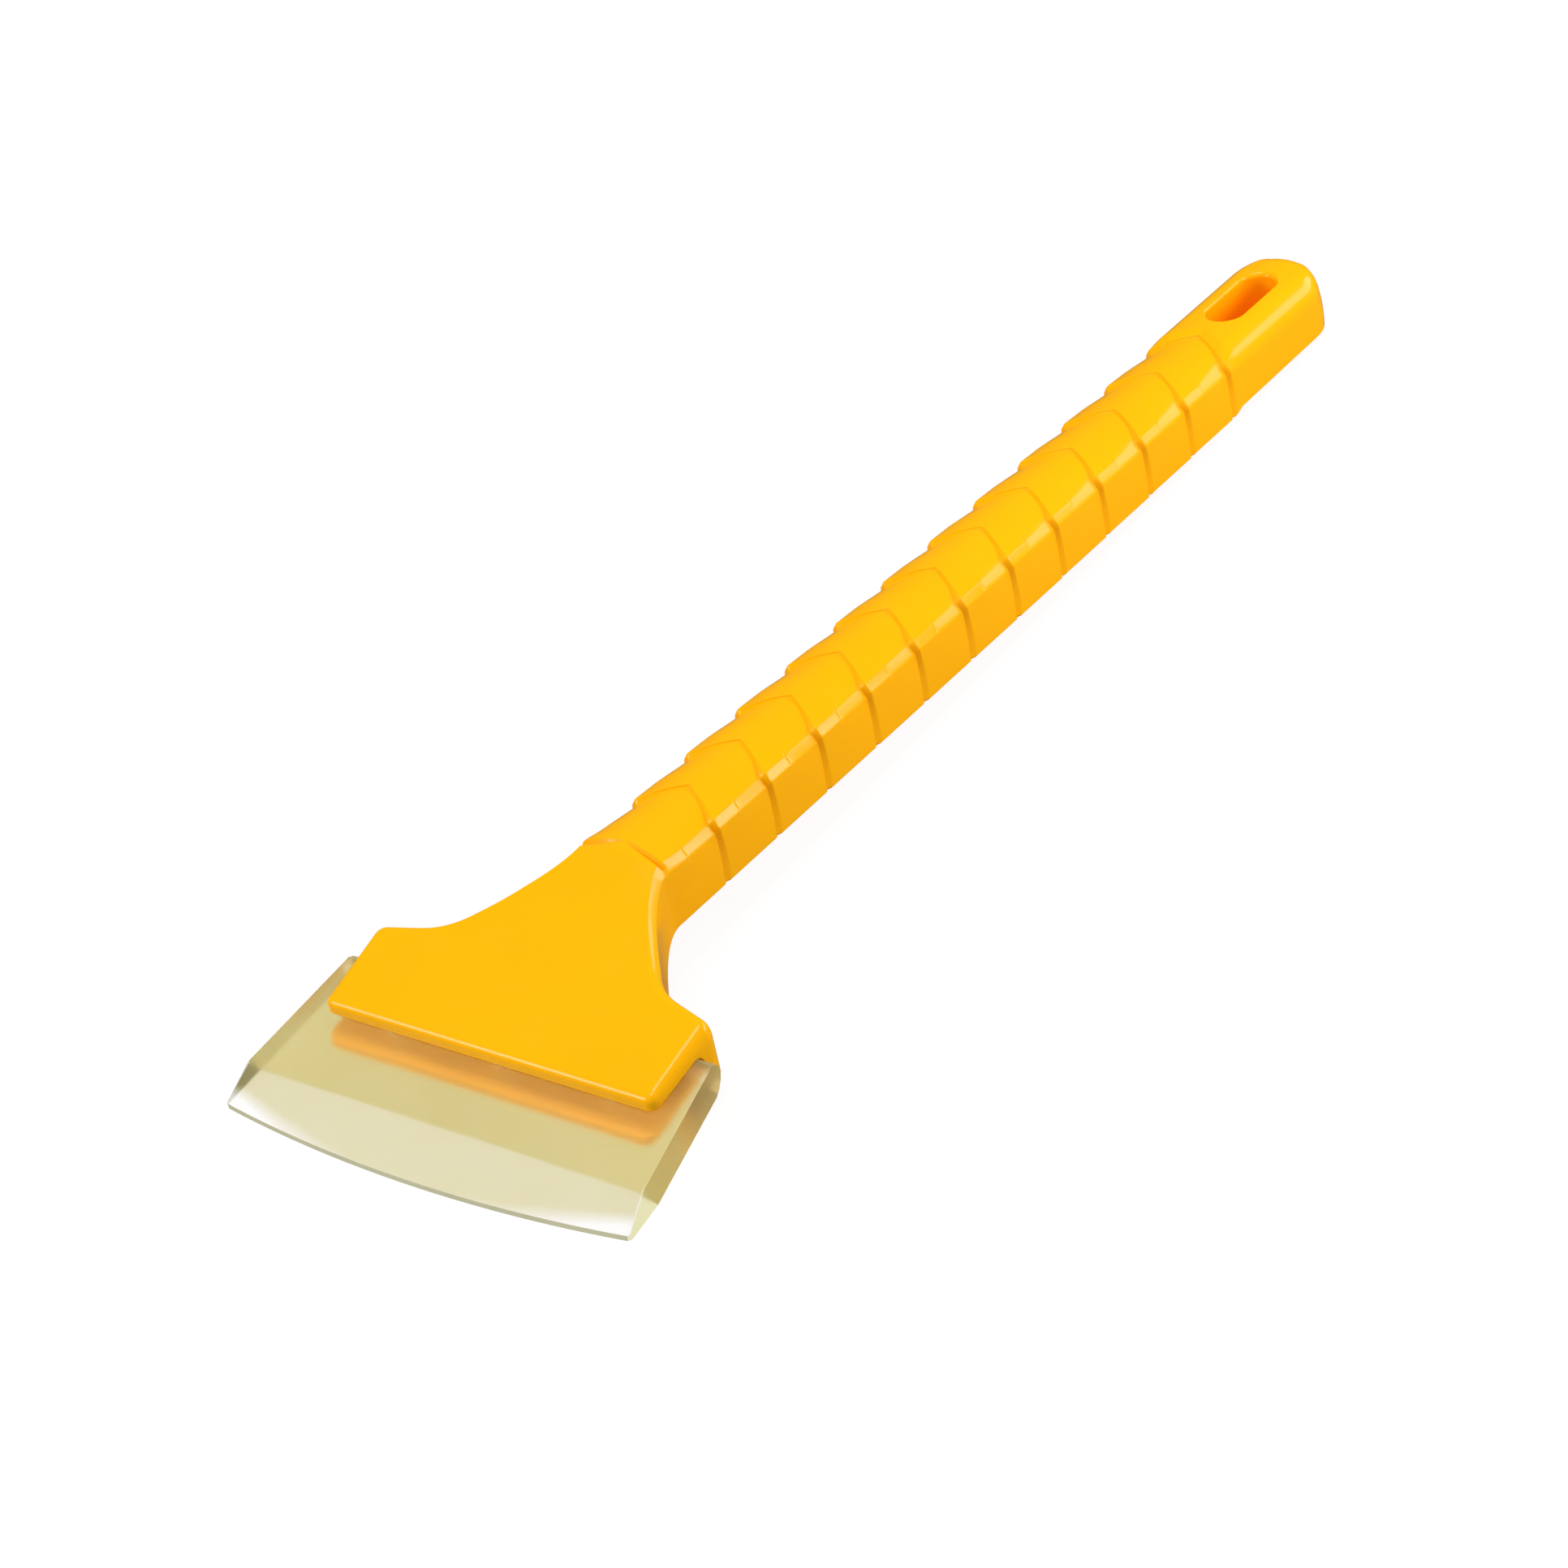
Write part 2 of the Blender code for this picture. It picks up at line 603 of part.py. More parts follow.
def screw_mesh(name, length, recess, collection):
    blank = turned(name + "_blank", screw_profile(length, 0, 0), Matrix(), collection)
    combine(blank, recess, "DIFFERENCE")
    mesh = mesh_of(blank)
    mesh.shade_smooth()
    mesh.set_sharp_from_angle(angle=SMOOTH_ANGLE)
    bpy.data.objects.remove(blank, do_unlink=True)
    return mesh


def add_screws(parts, cutters):
    """The six screws, with a hole and a boss for each; returns the screws, holes and bosses by kind."""
    recess = add_recess(cutters)
    kinds = (("jaw", JAW_SCREW_LENGTH, jaw_screw_frames()), ("grip", GRIP_SCREW_LENGTH, grip_screw_frames()))
    screws = []
    holes = []
    for kind, length, frames in kinds:
        mesh = screw_mesh(kind + "_screw", length, recess, cutters)
        for place, frame in frames.items():
            screw = add_object(f"{kind}_screw_{place}", mesh, parts)
            screw.matrix_world = frame
            screws.append(screw)
            profile = screw_profile(length, CLEARANCE, OVERRUN)
            holes.append(turned(f"{kind}_hole_{place}", profile, frame, cutters))
    return screws, holes


def add_bosses(collection):
    """Screw bosses, from just above the cover or the lower jaw up into the handle moulding."""
    bosses = []
    low = LOWER_JAW_THICKNESS + CLEARANCE
    high = LOWER_JAW_THICKNESS + BLADE_THICKNESS + 3 * CLEARANCE + BOSS_ROOT
    for place, frame in jaw_screw_frames().items():
        bosses.append(cylinder("jaw_boss_" + place, BOSS_RADIUS, low, high, frame, collection))
    low = COVER_THICKNESS + CLEARANCE
    high = GRIP_DEPTH - CEILING_DROP + CEILING_CROWN + BOSS_ROOT
    for place, frame in grip_screw_frames().items():
        bosses.append(cylinder("grip_boss_" + place, BOSS_RADIUS, low, high, frame, collection))
    return bosses


def add_handle(parts, cutters, holes):
    rings = list(neck_rings()) + list(segment_rings()) + list(end_rings())
    handle = loft("handle_shell", rings, parts)
    handle.data.shade_smooth()
    handle.data.set_sharp_from_angle(angle=SMOOTH_ANGLE)
    combine(handle, add_head(cutters), "UNION")
    for cutter in (add_undercut, add_grip_cavity, add_head_cavity, add_cover_seat, add_slot_cutter):
        combine(handle, cutter(cutters), "DIFFERENCE")
    for boss in add_bosses(cutters):
        combine(handle, boss, "UNION")
    for hole in holes:
        combine(handle, hole, "DIFFERENCE")
    return handle


def blade_half_width(y):
    share = (BLADE_REAR_Y - y) / BLADE_LENGTH
    return (BLADE_REAR_WIDTH + (BLADE_FRONT_WIDTH - BLADE_REAR_WIDTH) * share) / 2


def blade_section(across, cut_back):
    """Side outline of the blade at a share of its half width, with its front edge drawn back by cut_back."""
    bow = 1 - across ** 2
    front = BLADE_CORNER_Y - BLADE_BOW * bow + cut_back
    bevel = BLADE_CORNER_Y + BEVEL_LENGTH - BEVEL_BOW * bow
    side = nose(0)
    side.append((HEEL_Y, HEEL_Z))
    side.append((front, land(front)))
    side.append((front, land(front) + EDGE_THICKNESS))
    side.append((bevel, blade_top(bevel)))
    return [(across * blade_half_width(y), y, z) for y, z in side]


def add_blade(parts, cutters):
    corner = BLADE_CORNER_RADIUS / (BLADE_FRONT_WIDTH / 2)
    right = []
    for step in range(ARC_STEPS + 1):
        angle = math.pi / 2 * step / ARC_STEPS
        right.append((1 - corner * (1 - math.sin(angle)), BLADE_CORNER_RADIUS * (1 - math.cos(angle))))
    inner = 1 - corner
    even = [(inner * (2 * step / BLADE_STATIONS - 1), 0.0) for step in range(1, BLADE_STATIONS)]
    left = [(-across, cut_back) for across, cut_back in reversed(right)]
    blade = loft("scraper_blade", [blade_section(*station) for station in left + even + right], parts)
    radius = BOSS_RADIUS + BLADE_HOLE_SPARE
    reach = LOWER_JAW_THICKNESS + BLADE_THICKNESS + OVERRUN
    for place, frame in jaw_screw_frames().items():
        combine(blade, cylinder("blade_hole_" + place, radius, 0, reach, frame, cutters), "DIFFERENCE")
    return blade


def add_material(thing, colour, roughness, metallic=0.0, alpha=1.0):
    material = bpy.data.materials.new(thing.name)
    material.use_nodes = True
    shader = material.node_tree.nodes["Principled BSDF"]
    shader.inputs["Base Color"].default_value = (*colour, 1.0)
    shader.inputs["Roughness"].default_value = roughness
    shader.inputs["Metallic"].default_value = metallic
    shader.inputs["Alpha"].default_value = alpha
    thing.data.materials.clear()
    thing.data.materials.append(material)


def lay_down(things):
    """Turns the tool about X until its land and its end both touch the ground, and centres it."""
    rest = add_object("resting_place", None, bpy.context.scene.collection)
    tilt = math.atan(REST_SLOPE)
    turn = Matrix.Rotation(-tilt, 4, "X")
    front = BLADE_CORNER_Y - BLADE_BOW
    low = turn @ Vector((0, front, land(front)))
    high = turn @ Vector((0, END_CAP_Y, grip_foot(END_CAP_Y)))
    rest.location = (0, -(low.y + high.y) / 2, -low.z)
    rest.rotation_euler.x = -tilt
    for thing in things:
        thing.parent = rest


def main():
    clear_scene()
    parts = add_collection("snow_scraper")
    cutters = add_collection("cutters")
    screws, holes = add_screws(parts, cutters)
    handle = add_handle(parts, cutters, holes)
    cover = add_cover(parts)
    for hole in holes:
        combine(cover, hole, "DIFFERENCE")
    blade = add_blade(parts, cutters)
    add_material(handle, (0.95, 0.53, 0.01), 0.35)
    add_material(cover, (0.93, 0.50, 0.01), 0.4)
    add_material(blade, (0.72, 0.68, 0.36), 0.2, alpha=0.6)
    for screw in screws:
        add_material(screw, (0.62, 0.62, 0.60), 0.3, metallic=1.0)
    lay_down(list(parts.objects) + list(cutters.objects))
    for cutter in cutters.objects:
        cutter.hide_render = True
        cutter.display_type = "WIRE"


main()
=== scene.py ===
import math

import bmesh
import bpy
from mathutils import Matrix, Vector


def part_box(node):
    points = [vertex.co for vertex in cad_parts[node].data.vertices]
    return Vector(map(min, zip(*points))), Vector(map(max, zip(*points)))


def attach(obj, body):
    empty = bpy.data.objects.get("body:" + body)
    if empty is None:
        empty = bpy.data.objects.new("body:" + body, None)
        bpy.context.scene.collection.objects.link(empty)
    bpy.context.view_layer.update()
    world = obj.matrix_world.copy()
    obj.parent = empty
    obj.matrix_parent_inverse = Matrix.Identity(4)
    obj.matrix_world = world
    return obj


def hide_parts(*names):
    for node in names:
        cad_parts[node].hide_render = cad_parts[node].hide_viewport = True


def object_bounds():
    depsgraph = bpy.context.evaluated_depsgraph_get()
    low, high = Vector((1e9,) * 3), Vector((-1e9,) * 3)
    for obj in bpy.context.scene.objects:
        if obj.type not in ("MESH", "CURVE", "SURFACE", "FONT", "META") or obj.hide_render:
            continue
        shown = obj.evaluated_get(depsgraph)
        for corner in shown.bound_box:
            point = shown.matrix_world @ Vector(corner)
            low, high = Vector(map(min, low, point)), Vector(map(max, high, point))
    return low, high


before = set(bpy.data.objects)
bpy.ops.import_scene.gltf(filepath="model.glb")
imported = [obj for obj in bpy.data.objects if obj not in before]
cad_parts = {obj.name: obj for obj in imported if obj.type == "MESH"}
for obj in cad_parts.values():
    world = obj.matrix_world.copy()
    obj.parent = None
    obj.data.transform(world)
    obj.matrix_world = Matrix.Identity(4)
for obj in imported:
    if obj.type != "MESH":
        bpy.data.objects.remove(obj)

# Sizes are in metres. The handle's own frame has X across, Y from the neck to the hanging slot and Z up,
# with its origin on the neck line at the height of the grip's upper edges.

# Fits and facets
CLEARANCE = 0.0003
OVERRUN = 0.0030
MERGE_DISTANCE = 0.000002
ARC_STEPS = 8
TURN_STEPS = 48
SMOOTH_ANGLE = math.radians(34.0)

# Grip
GRIP_LENGTH = 0.2237
SEGMENT_COUNT = 12
GRIP_WIDTH = 0.0243
GRIP_TOP_WIDTH = 0.0216
GRIP_DEPTH = 0.0155
TAPER_START = 0.1300
END_RISE = 0.0016
GRIP_CROWN = 0.0024
CHAMFER_DROP = 0.0021
FOOT_CHAMFER = 0.0004
EDGE_RADIUS = 0.00018
CHEVRON_LEAD = 0.0063
FLANK_STEPS = 10
CHAMFER_STEPS = 3
CROWN_STEPS = 13

# Relief of one segment: it sinks a little to a crease and further to a dip, and rises in a step at its end
CREASE_SHARE = 0.40
RISE_SHARE = 0.90
CREASE_SINK_SHARE = 0.25
DIP_ASIDE = 0.00095
DIP_DOWN = 0.00105
DIP_AT_CROWN = 0.00042
DIP_ASIDE_POWER = 1.5
DIP_DOWN_POWER = 4
CROWN_DIP_POWER = 3
CROWN_RISE_POWER = 4
RISE_AT_EDGE = 0.0014
RISE_AT_CROWN = 0.00035
GROOVE_DROP_SHARE = 0.28
GROOVE_AT_FLANK = 0.00030
GROOVE_AT_FOOT = 0.00062
GROOVE_AT_EDGE = 0.00008
GROOVE_WIDTH_AT_EDGE = 0.0009
GROOVE_WIDTH_AT_FOOT = 0.0021
LINE_BULGE = 0.00045
LINE_BULGE_SHARE = 0.125
TICK_DEPTH = 0.00013
TICK_WIDTH = 0.0007
CREASING_SHARES = (0.0, 0.03, 0.08, 0.16, 0.24, 0.32, 0.38)
TICK_SHARES = (-1.0, -0.6, 0.0, 0.6, 1.0)
SINKING_SHARES = (0.46, 0.54, 0.62, 0.7, 0.78, 0.85, 0.9)
RISING_STEPS = 10

# Neck line, where the first segment stands proud of the head
NECK_LINE = 0.0009
NECK_BOW = 0.0017
NECK_STEP = 0.0003
NECK_RIDGE = 0.00010
NECK_RAMP = 0.0009
NECK_ROOT = 0.0040
NECK_TUCK = 0.0013
NECK_LEAD_RATE = 1.2

# Hanging end
END_LENGTH = 0.0498
END_CROWN = 0.0030
END_FOOT_CHAMFER = 0.0013
END_SIDE_RADIUS = 0.0062
END_EDGE_RADIUS = 0.0055
END_DRAFT = math.radians(4.5)
END_CAP_ANGLE = math.radians(84.0)
END_STEPS = 16
END_STEP_POWER = 1.5
END_ROUNDING_STEPS = 11
END_ARCH_SHARE = 0.2
END_BLEND = 0.0030
SLOT_WIDTH = 0.0098
SLOT_LENGTH = 0.0240
SLOT_END_WALL = 0.0125
SLOT_RIM = 0.0014
SLOT_WALL = 0.0045

# Head
HEAD_TILT = math.radians(16.4)
NECK_RISE = 0.0003
NECK_LENGTH = 0.0258
NECK_FLARE_WIDTH = 0.0590
NECK_FLARE_POWER = 1.43
NECK_STEPS = 26
NECK_CROWN_LENGTH = 0.0200
NECK_FALL_Y = -0.0043
NECK_FALL_REACH = 0.0040
TOP_COLUMNS = 18
HEAD_WIDTH = 0.0902
HEAD_LENGTH = 0.0518
LIP_CORNER_RADIUS = 0.0025
SHOULDER_WIDTH = 0.0580
SHOULDER_DEPTH = 0.02563
SHOULDER_RADIUS = 0.0175
SHOULDER_STEPS = 6
REAR_WIDTH = 0.0916
REAR_BEND_WIDTH = 0.0702
REAR_BEND_DEPTH = 0.0275
REAR_BEND_RADIUS = 0.0120
REAR_CORNER_DEPTH = 0.0302
REAR_CORNER_RADIUS = 0.0034
LIP_THICKNESS = 0.0028
JAW_DEPTH = 0.0166
LIP_ROUNDING = 0.0014
HEAD_ROUNDING = 0.0022
REAR_INSET = 0.0026
NECK_ROUNDING_WIDTH = 0.0014
NECK_ROUNDING_HEIGHT = 0.0021
NECK_ROUNDING_FLATNESS = 1.9
REAR_FALL = 0.0046

# Where the head's rounding changes, as shares of the neck's and the head's length and of the flare's width
NECK_ROUNDING_REACH = 0.6
REAR_ROUNDING_FROM = 0.8
REAR_ROUNDING_REACH = 0.25
REAR_ROUNDING_ASIDE = 0.3
REAR_ROUNDING_SPREAD = 0.25

# Blade
BLADE_TILT = math.radians(13.9)
BLADE_THICKNESS = 0.0069
BLADE_REAR_WIDTH = 0.0988
BLADE_FRONT_WIDTH = 0.1106
BLADE_LENGTH = 0.0412
BLADE_BOW = 0.0043
BLADE_NOSE = 0.0024
BLADE_CORNER_RADIUS = 0.0011
BLADE_EDGE_RADIUS = 0.00022
BLADE_EDGE_STEPS = 3
BLADE_EDGE_ANGLE = math.radians(28)
BEVEL_LENGTH = 0.0083
BEVEL_BOW = 0.0016
LAND_LENGTH = 0.0112
EDGE_THICKNESS = 0.0013
BLADE_STATIONS = 40
# Rear edge of the blade from its top to its underside: shares of the nose length and of the thickness.
NOSE_SHARES = ((1.0, 0.0), (0.42, 0.12), (0.1, 0.3), (0.0, 0.5), (0.2, 0.7), (0.7, 0.9), (1.4, 1.0))
UPPER_NOSE_COUNT = 4

# Walls and back cover
SIDE_WALL = 0.0026
RIM_WALL = 0.0013
CEILING_DROP = 0.0034
CEILING_CROWN = 0.0024
HEAD_WALL = 0.0030
COVER_THICKNESS = 0.0020
LOWER_JAW_THICKNESS = 0.0017

# Screws and bosses
SCREW_RADIUS = 0.00145
SCREW_HEAD_RADIUS = 0.0027
SCREW_HEAD_HEIGHT = 0.0015
SCREW_HEAD_EDGE = 0.0003
SCREW_TIP_RADIUS = 0.0008
SCREW_TIP_LENGTH = 0.0012
JAW_SCREW_LENGTH = 0.0098
GRIP_SCREW_LENGTH = 0.0088
BOSS_RADIUS = 0.0035
BOSS_ROOT = 0.0015
BLADE_HOLE_SPARE = 0.0007
JAW_SCREW_INSET = 0.0150
GRIP_SCREW_INSET = 0.0200

# Camera, fitted to the photograph in the handle's frame
CAMERA_AZIMUTH = math.radians(43.28)
CAMERA_ELEVATION = math.radians(32.25)
CAMERA_ROLL = math.radians(-12.43)
CAMERA_DISTANCE = 1.0
CAMERA_AIM_RIGHT = 0.03441
CAMERA_AIM_UP = 0.01514
FOCAL_PIXELS = 5842.0
FRAME_PIXELS = 1932.0
SENSOR_WIDTH_MM = 36.0

# World and floor: how bright each is for light, in gloss, through the blade and for the camera
WORLD_LIGHT = 0.55
WORLD_GLOSS = 0.05
WORLD_THROUGH = 0.86
WORLD_SEEN = 1.0
FLOOR_REACH = 6.0
FLOOR_SHADE = 0.58
FLOOR_ROUGHNESS = 0.9
FLOOR_SPECULAR = 0.1
FLOOR_GLOSS = 0.08
FLOOR_THROUGH = 0.90
FLOOR_GLOW = 1.06
FLOOR_GLOW_SHARE = 0.88

# Lamps: place in the handle's frame, width and height in metres, and power in watts
LAMPS = {
    "key": ((-0.05, 0.0, 1.6), (0.7, 0.7), 12.5),
    "front": ((-0.8, -0.95, 0.62), (0.45, 0.45), 7.0),
    "side": ((0.345, 0.316, 0.144), (0.16, 0.16), 0.70),
    "rear": ((0.42, 1.08, 0.38), (0.60, 0.40), 3.4),
}

# Range that a noise texture mostly keeps to
NOISE_LOW = 0.3
NOISE_HIGH = 0.7

# Colours, in pairs that a cloudy material goes between
YELLOW = ((0.92, 0.415, 0.001), (0.95, 0.435, 0.001))
ZINC = ((0.52, 0.53, 0.54), (0.70, 0.70, 0.67))
CLEAR = ((0.74, 0.65, 0.29), (0.78, 0.69, 0.34))
CLEAR_TRANSMISSION = 0.88
CLEAR_SHADOW = (0.92, 0.90, 0.70)
# Faces of the clear plastic with painted light: the pale bevel, partly a frosted finish and partly a
# painted reflection, the sides painted lighter, and the front rim painted dark as shade. Each has an axis,
# the two shares of its direction along it between which the difference sets in, its colours and its
# transmission.
PAINTED_CLEAR_FACES = (
    ("Y", 0.40, 0.46, ((0.98, 0.95, 0.91), (0.99, 0.97, 0.95)), 0.52),
    ("X", 0.50, 0.80, ((0.90, 0.84, 0.34), (0.94, 0.88, 0.42)), 0.82),
    ("Y", 0.80, 0.90, ((0.42, 0.40, 0.20), (0.48, 0.46, 0.24)), 0.62),
)

# Painted glow of the yellow plastic, given off as light: red for bounced rays, which shows in its hollows,
# and orange for rays through the blade, which shows under the blade
PAINTED_HOLLOW_GLOW = (0.22, 0.0, 0.0)
PAINTED_COVERED_GLOW = (0.22, 0.13, 0.0)

# Sizes and places worked out from the ones above
PITCH = GRIP_LENGTH / SEGMENT_COUNT
TIP_Y = GRIP_LENGTH + END_LENGTH
END_CENTRE_Y = TIP_Y - GRIP_WIDTH / 2
END_CAP_Y = END_CENTRE_Y + GRIP_WIDTH / 2 * math.sin(END_CAP_ANGLE)
SLOT_REAR_Y = TIP_Y - SLOT_END_WALL
SLOT_FRONT_Y = SLOT_REAR_Y - SLOT_LENGTH
CAVITY_END_Y = SLOT_FRONT_Y - SLOT_WALL
COVER_END_Y = CAVITY_END_Y + SIDE_WALL - RIM_WALL
NECK_WIDTH = GRIP_WIDTH - 2 * NECK_STEP
BLADE_REAR_Y = JAW_DEPTH - HEAD_LENGTH
BLADE_CORNER_Y = BLADE_REAR_Y - BLADE_LENGTH
HEEL_Y = BLADE_CORNER_Y + LAND_LENGTH
JAW_SCREW_Y = JAW_DEPTH / 2 - HEAD_LENGTH
JAW_SCREW_X = HEAD_WIDTH / 2 - JAW_SCREW_INSET
BLADE_DROP = BLADE_THICKNESS / math.cos(BLADE_TILT)
BLADE_GAP = CLEARANCE / math.cos(BLADE_TILT)
LOWER_JAW_DROP = LOWER_JAW_THICKNESS / math.cos(BLADE_TILT)
HIDDEN_DEPTH = GRIP_DEPTH + HEAD_LENGTH


def head_top(y):
    return NECK_RISE + math.tan(HEAD_TILT) * y


def blade_top(y):
    return head_top(-HEAD_LENGTH) - LIP_THICKNESS - BLADE_GAP + math.tan(BLADE_TILT) * (y + HEAD_LENGTH)


def blade_bottom(y):
    return blade_top(y) - BLADE_DROP


def lower_jaw_bottom(y):
    return blade_bottom(y) - BLADE_GAP - LOWER_JAW_DROP


HEEL_Z = blade_bottom(HEEL_Y)
TAPER_SLOPE = END_RISE / (TIP_Y - TAPER_START)
REST_SLOPE = (END_RISE - GRIP_DEPTH - HEEL_Z) / (TIP_Y - HEEL_Y)
UNDERSIDE_SLOPE = (-GRIP_DEPTH - lower_jaw_bottom(BLADE_REAR_Y)) / (NECK_FALL_Y - BLADE_REAR_Y)


def land(y):
    """Height of the surface that the tool rests on, in the handle's frame."""
    return HEEL_Z + REST_SLOPE * (y - HEEL_Y)


def grip_foot(y):
    """Height of the grip's lower edge, which is level and then rises towards the hanging end."""
    return TAPER_SLOPE * max(y - TAPER_START, 0) - GRIP_DEPTH


def smooth_step(share):
    share = min(max(share, 0.0), 1.0)
    return share * share * (3 - 2 * share)


def resting_place():
    """Where the handle's own frame lies, read off two packed screws and the box of the whole part."""
    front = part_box("grip_screw_front")[0]
    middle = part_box("grip_screw_middle")[0]
    turn = Matrix.Rotation(math.atan2(middle[2] - front[2], middle[1] - front[1]), 4, "X")
    tip = turn @ Vector((0, END_CAP_Y, grip_foot(END_CAP_Y)))
    return Matrix.Translation((0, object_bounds()[1][1] - tip.y, -tip.z)) @ turn


# Mesh helpers

def add_object(name, mesh):
    thing = bpy.data.objects.new(name, mesh)
    bpy.context.scene.collection.objects.link(thing)
    return thing


def add_shape(name, shape):
    """Object with the mesh that has been built up in shape, which is used up."""
    mesh = bpy.data.meshes.new(name)
    shape.to_mesh(mesh)
    shape.free()
    return add_object(name, mesh)


def rounded(corners, steps=ARC_STEPS):
    """Outline from (point, radius) corners, with an arc in each corner that has a radius."""
    points = []
    for index, (corner, radius) in enumerate(corners):
        here = Vector(corner)
        if radius == 0:
            points.append(here)
            continue
        before = (Vector(corners[index - 1][0]) - here).normalized()
        after = (Vector(corners[(index + 1) % len(corners)][0]) - here).normalized()
        half_angle = before.angle(after) / 2
        centre = here + (before + after).normalized() * radius / math.sin(half_angle)
        start = here + before * radius / math.tan(half_angle) - centre
        end = here + after * radius / math.tan(half_angle) - centre
        turn = math.atan2(start.x * end.y - start.y * end.x, start.dot(end))
        for step in range(steps + 1):
            points.append(centre + Matrix.Rotation(turn * step / steps, 2) @ start)
    return points


def mirrored(half):
    """Closed outline from the (point, radius) corners of its right half, front to rear."""
    left = [((-point[0], point[1]), radius) for point, radius in reversed(half) if point[0] > 0]
    return rounded(half + left)


def loft(name, rings):
    """Solid through rings of equally many points, with a face across the first and the last ring."""
    shape = bmesh.new()
    rows = [[shape.verts.new(point) for point in ring] for ring in rings]
    for row, following in zip(rows, rows[1:]):
        for index in range(len(row)):
            after = (index + 1) % len(row)
            shape.faces.new((row[index], row[after], following[after], following[index]))
    shape.faces.new(rows[0])
    shape.faces.new(rows[-1])
    bmesh.ops.recalc_face_normals(shape, faces=shape.faces)
    return add_shape(name, shape)


def prism(name, outline, first, last, place):
    """Solid of a flat outline between two values of the coordinate that place(u, v, w) takes last."""
    return loft(name, [[place(u, v, w) for u, v in outline] for w in (first, last)])


def standing(u, v, w):
    return (u, v, w)


def sideways(u, v, w):
    return (w, u, v)


def lengthways(u, v, w):
    return (u, w, v)


def cylinder(name, radius, low, high, place):
    shape = bmesh.new()
    middle = Matrix.Translation((0, 0, (low + high) / 2))
    bmesh.ops.create_cone(shape, cap_ends=True, segments=TURN_STEPS, radius1=radius, radius2=radius,
                          depth=high - low, matrix=place @ middle)
    return add_shape(name, shape)


def turned(name, profile, place):
    """Solid turned about Z from a (radius, z) profile that starts and ends on the axis."""
    shape = bmesh.new()
    rows = []
    for radius, z in profile:
        count = TURN_STEPS if radius > 0 else 1
        angles = [2 * math.pi * step / TURN_STEPS for step in range(count)]
        rows.append([shape.verts.new(place @ Vector((radius * math.cos(a), radius * math.sin(a), z)))
                     for a in angles])
    for row, following in zip(rows, rows[1:]):
        for step in range(TURN_STEPS):
            after = (step + 1) % TURN_STEPS
            ring = [row[step % len(row)], row[after % len(row)],
                    following[after % len(following)], following[step % len(following)]]
            shape.faces.new(list(dict.fromkeys(ring)))
    bmesh.ops.recalc_face_normals(shape, faces=shape.faces)
    return add_shape(name, shape)


def combine(thing, others, operation):
    """Joins or cuts a solid with others, which are used up."""
    for other in others:
        step = thing.modifiers.new(other.name, "BOOLEAN")
        step.operation = operation
        step.object = other
        step.solver = "EXACT"
    apply_modifiers(thing)
    for other in others:
        bpy.data.objects.remove(other, do_unlink=True)


def apply_modifiers(thing):
    bpy.context.view_layer.update()
    evaluated = thing.evaluated_get(bpy.context.evaluated_depsgraph_get())
    mesh = bpy.data.meshes.new_from_object(evaluated)
    thing.modifiers.clear()
    thing.data = mesh


def finished(thing, place):
    """Moves a solid into its place, welds and smooths it, and lets it ride on the body."""
    shape = bmesh.new()
    shape.from_mesh(thing.data)
    bmesh.ops.remove_doubles(shape, verts=shape.verts, dist=MERGE_DISTANCE)
    bmesh.ops.dissolve_degenerate(shape, edges=shape.edges, dist=MERGE_DISTANCE)
    bmesh.ops.transform(shape, matrix=place, verts=shape.verts)
    shape.to_mesh(thing.data)
    shape.free()
    thing.data.shade_smooth()
    thing.data.set_sharp_from_angle(angle=SMOOTH_ANGLE)
    normals = thing.modifiers.new("normals", "WEIGHTED_NORMAL")
    normals.keep_sharp = True
    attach(thing, "root")


# Grip

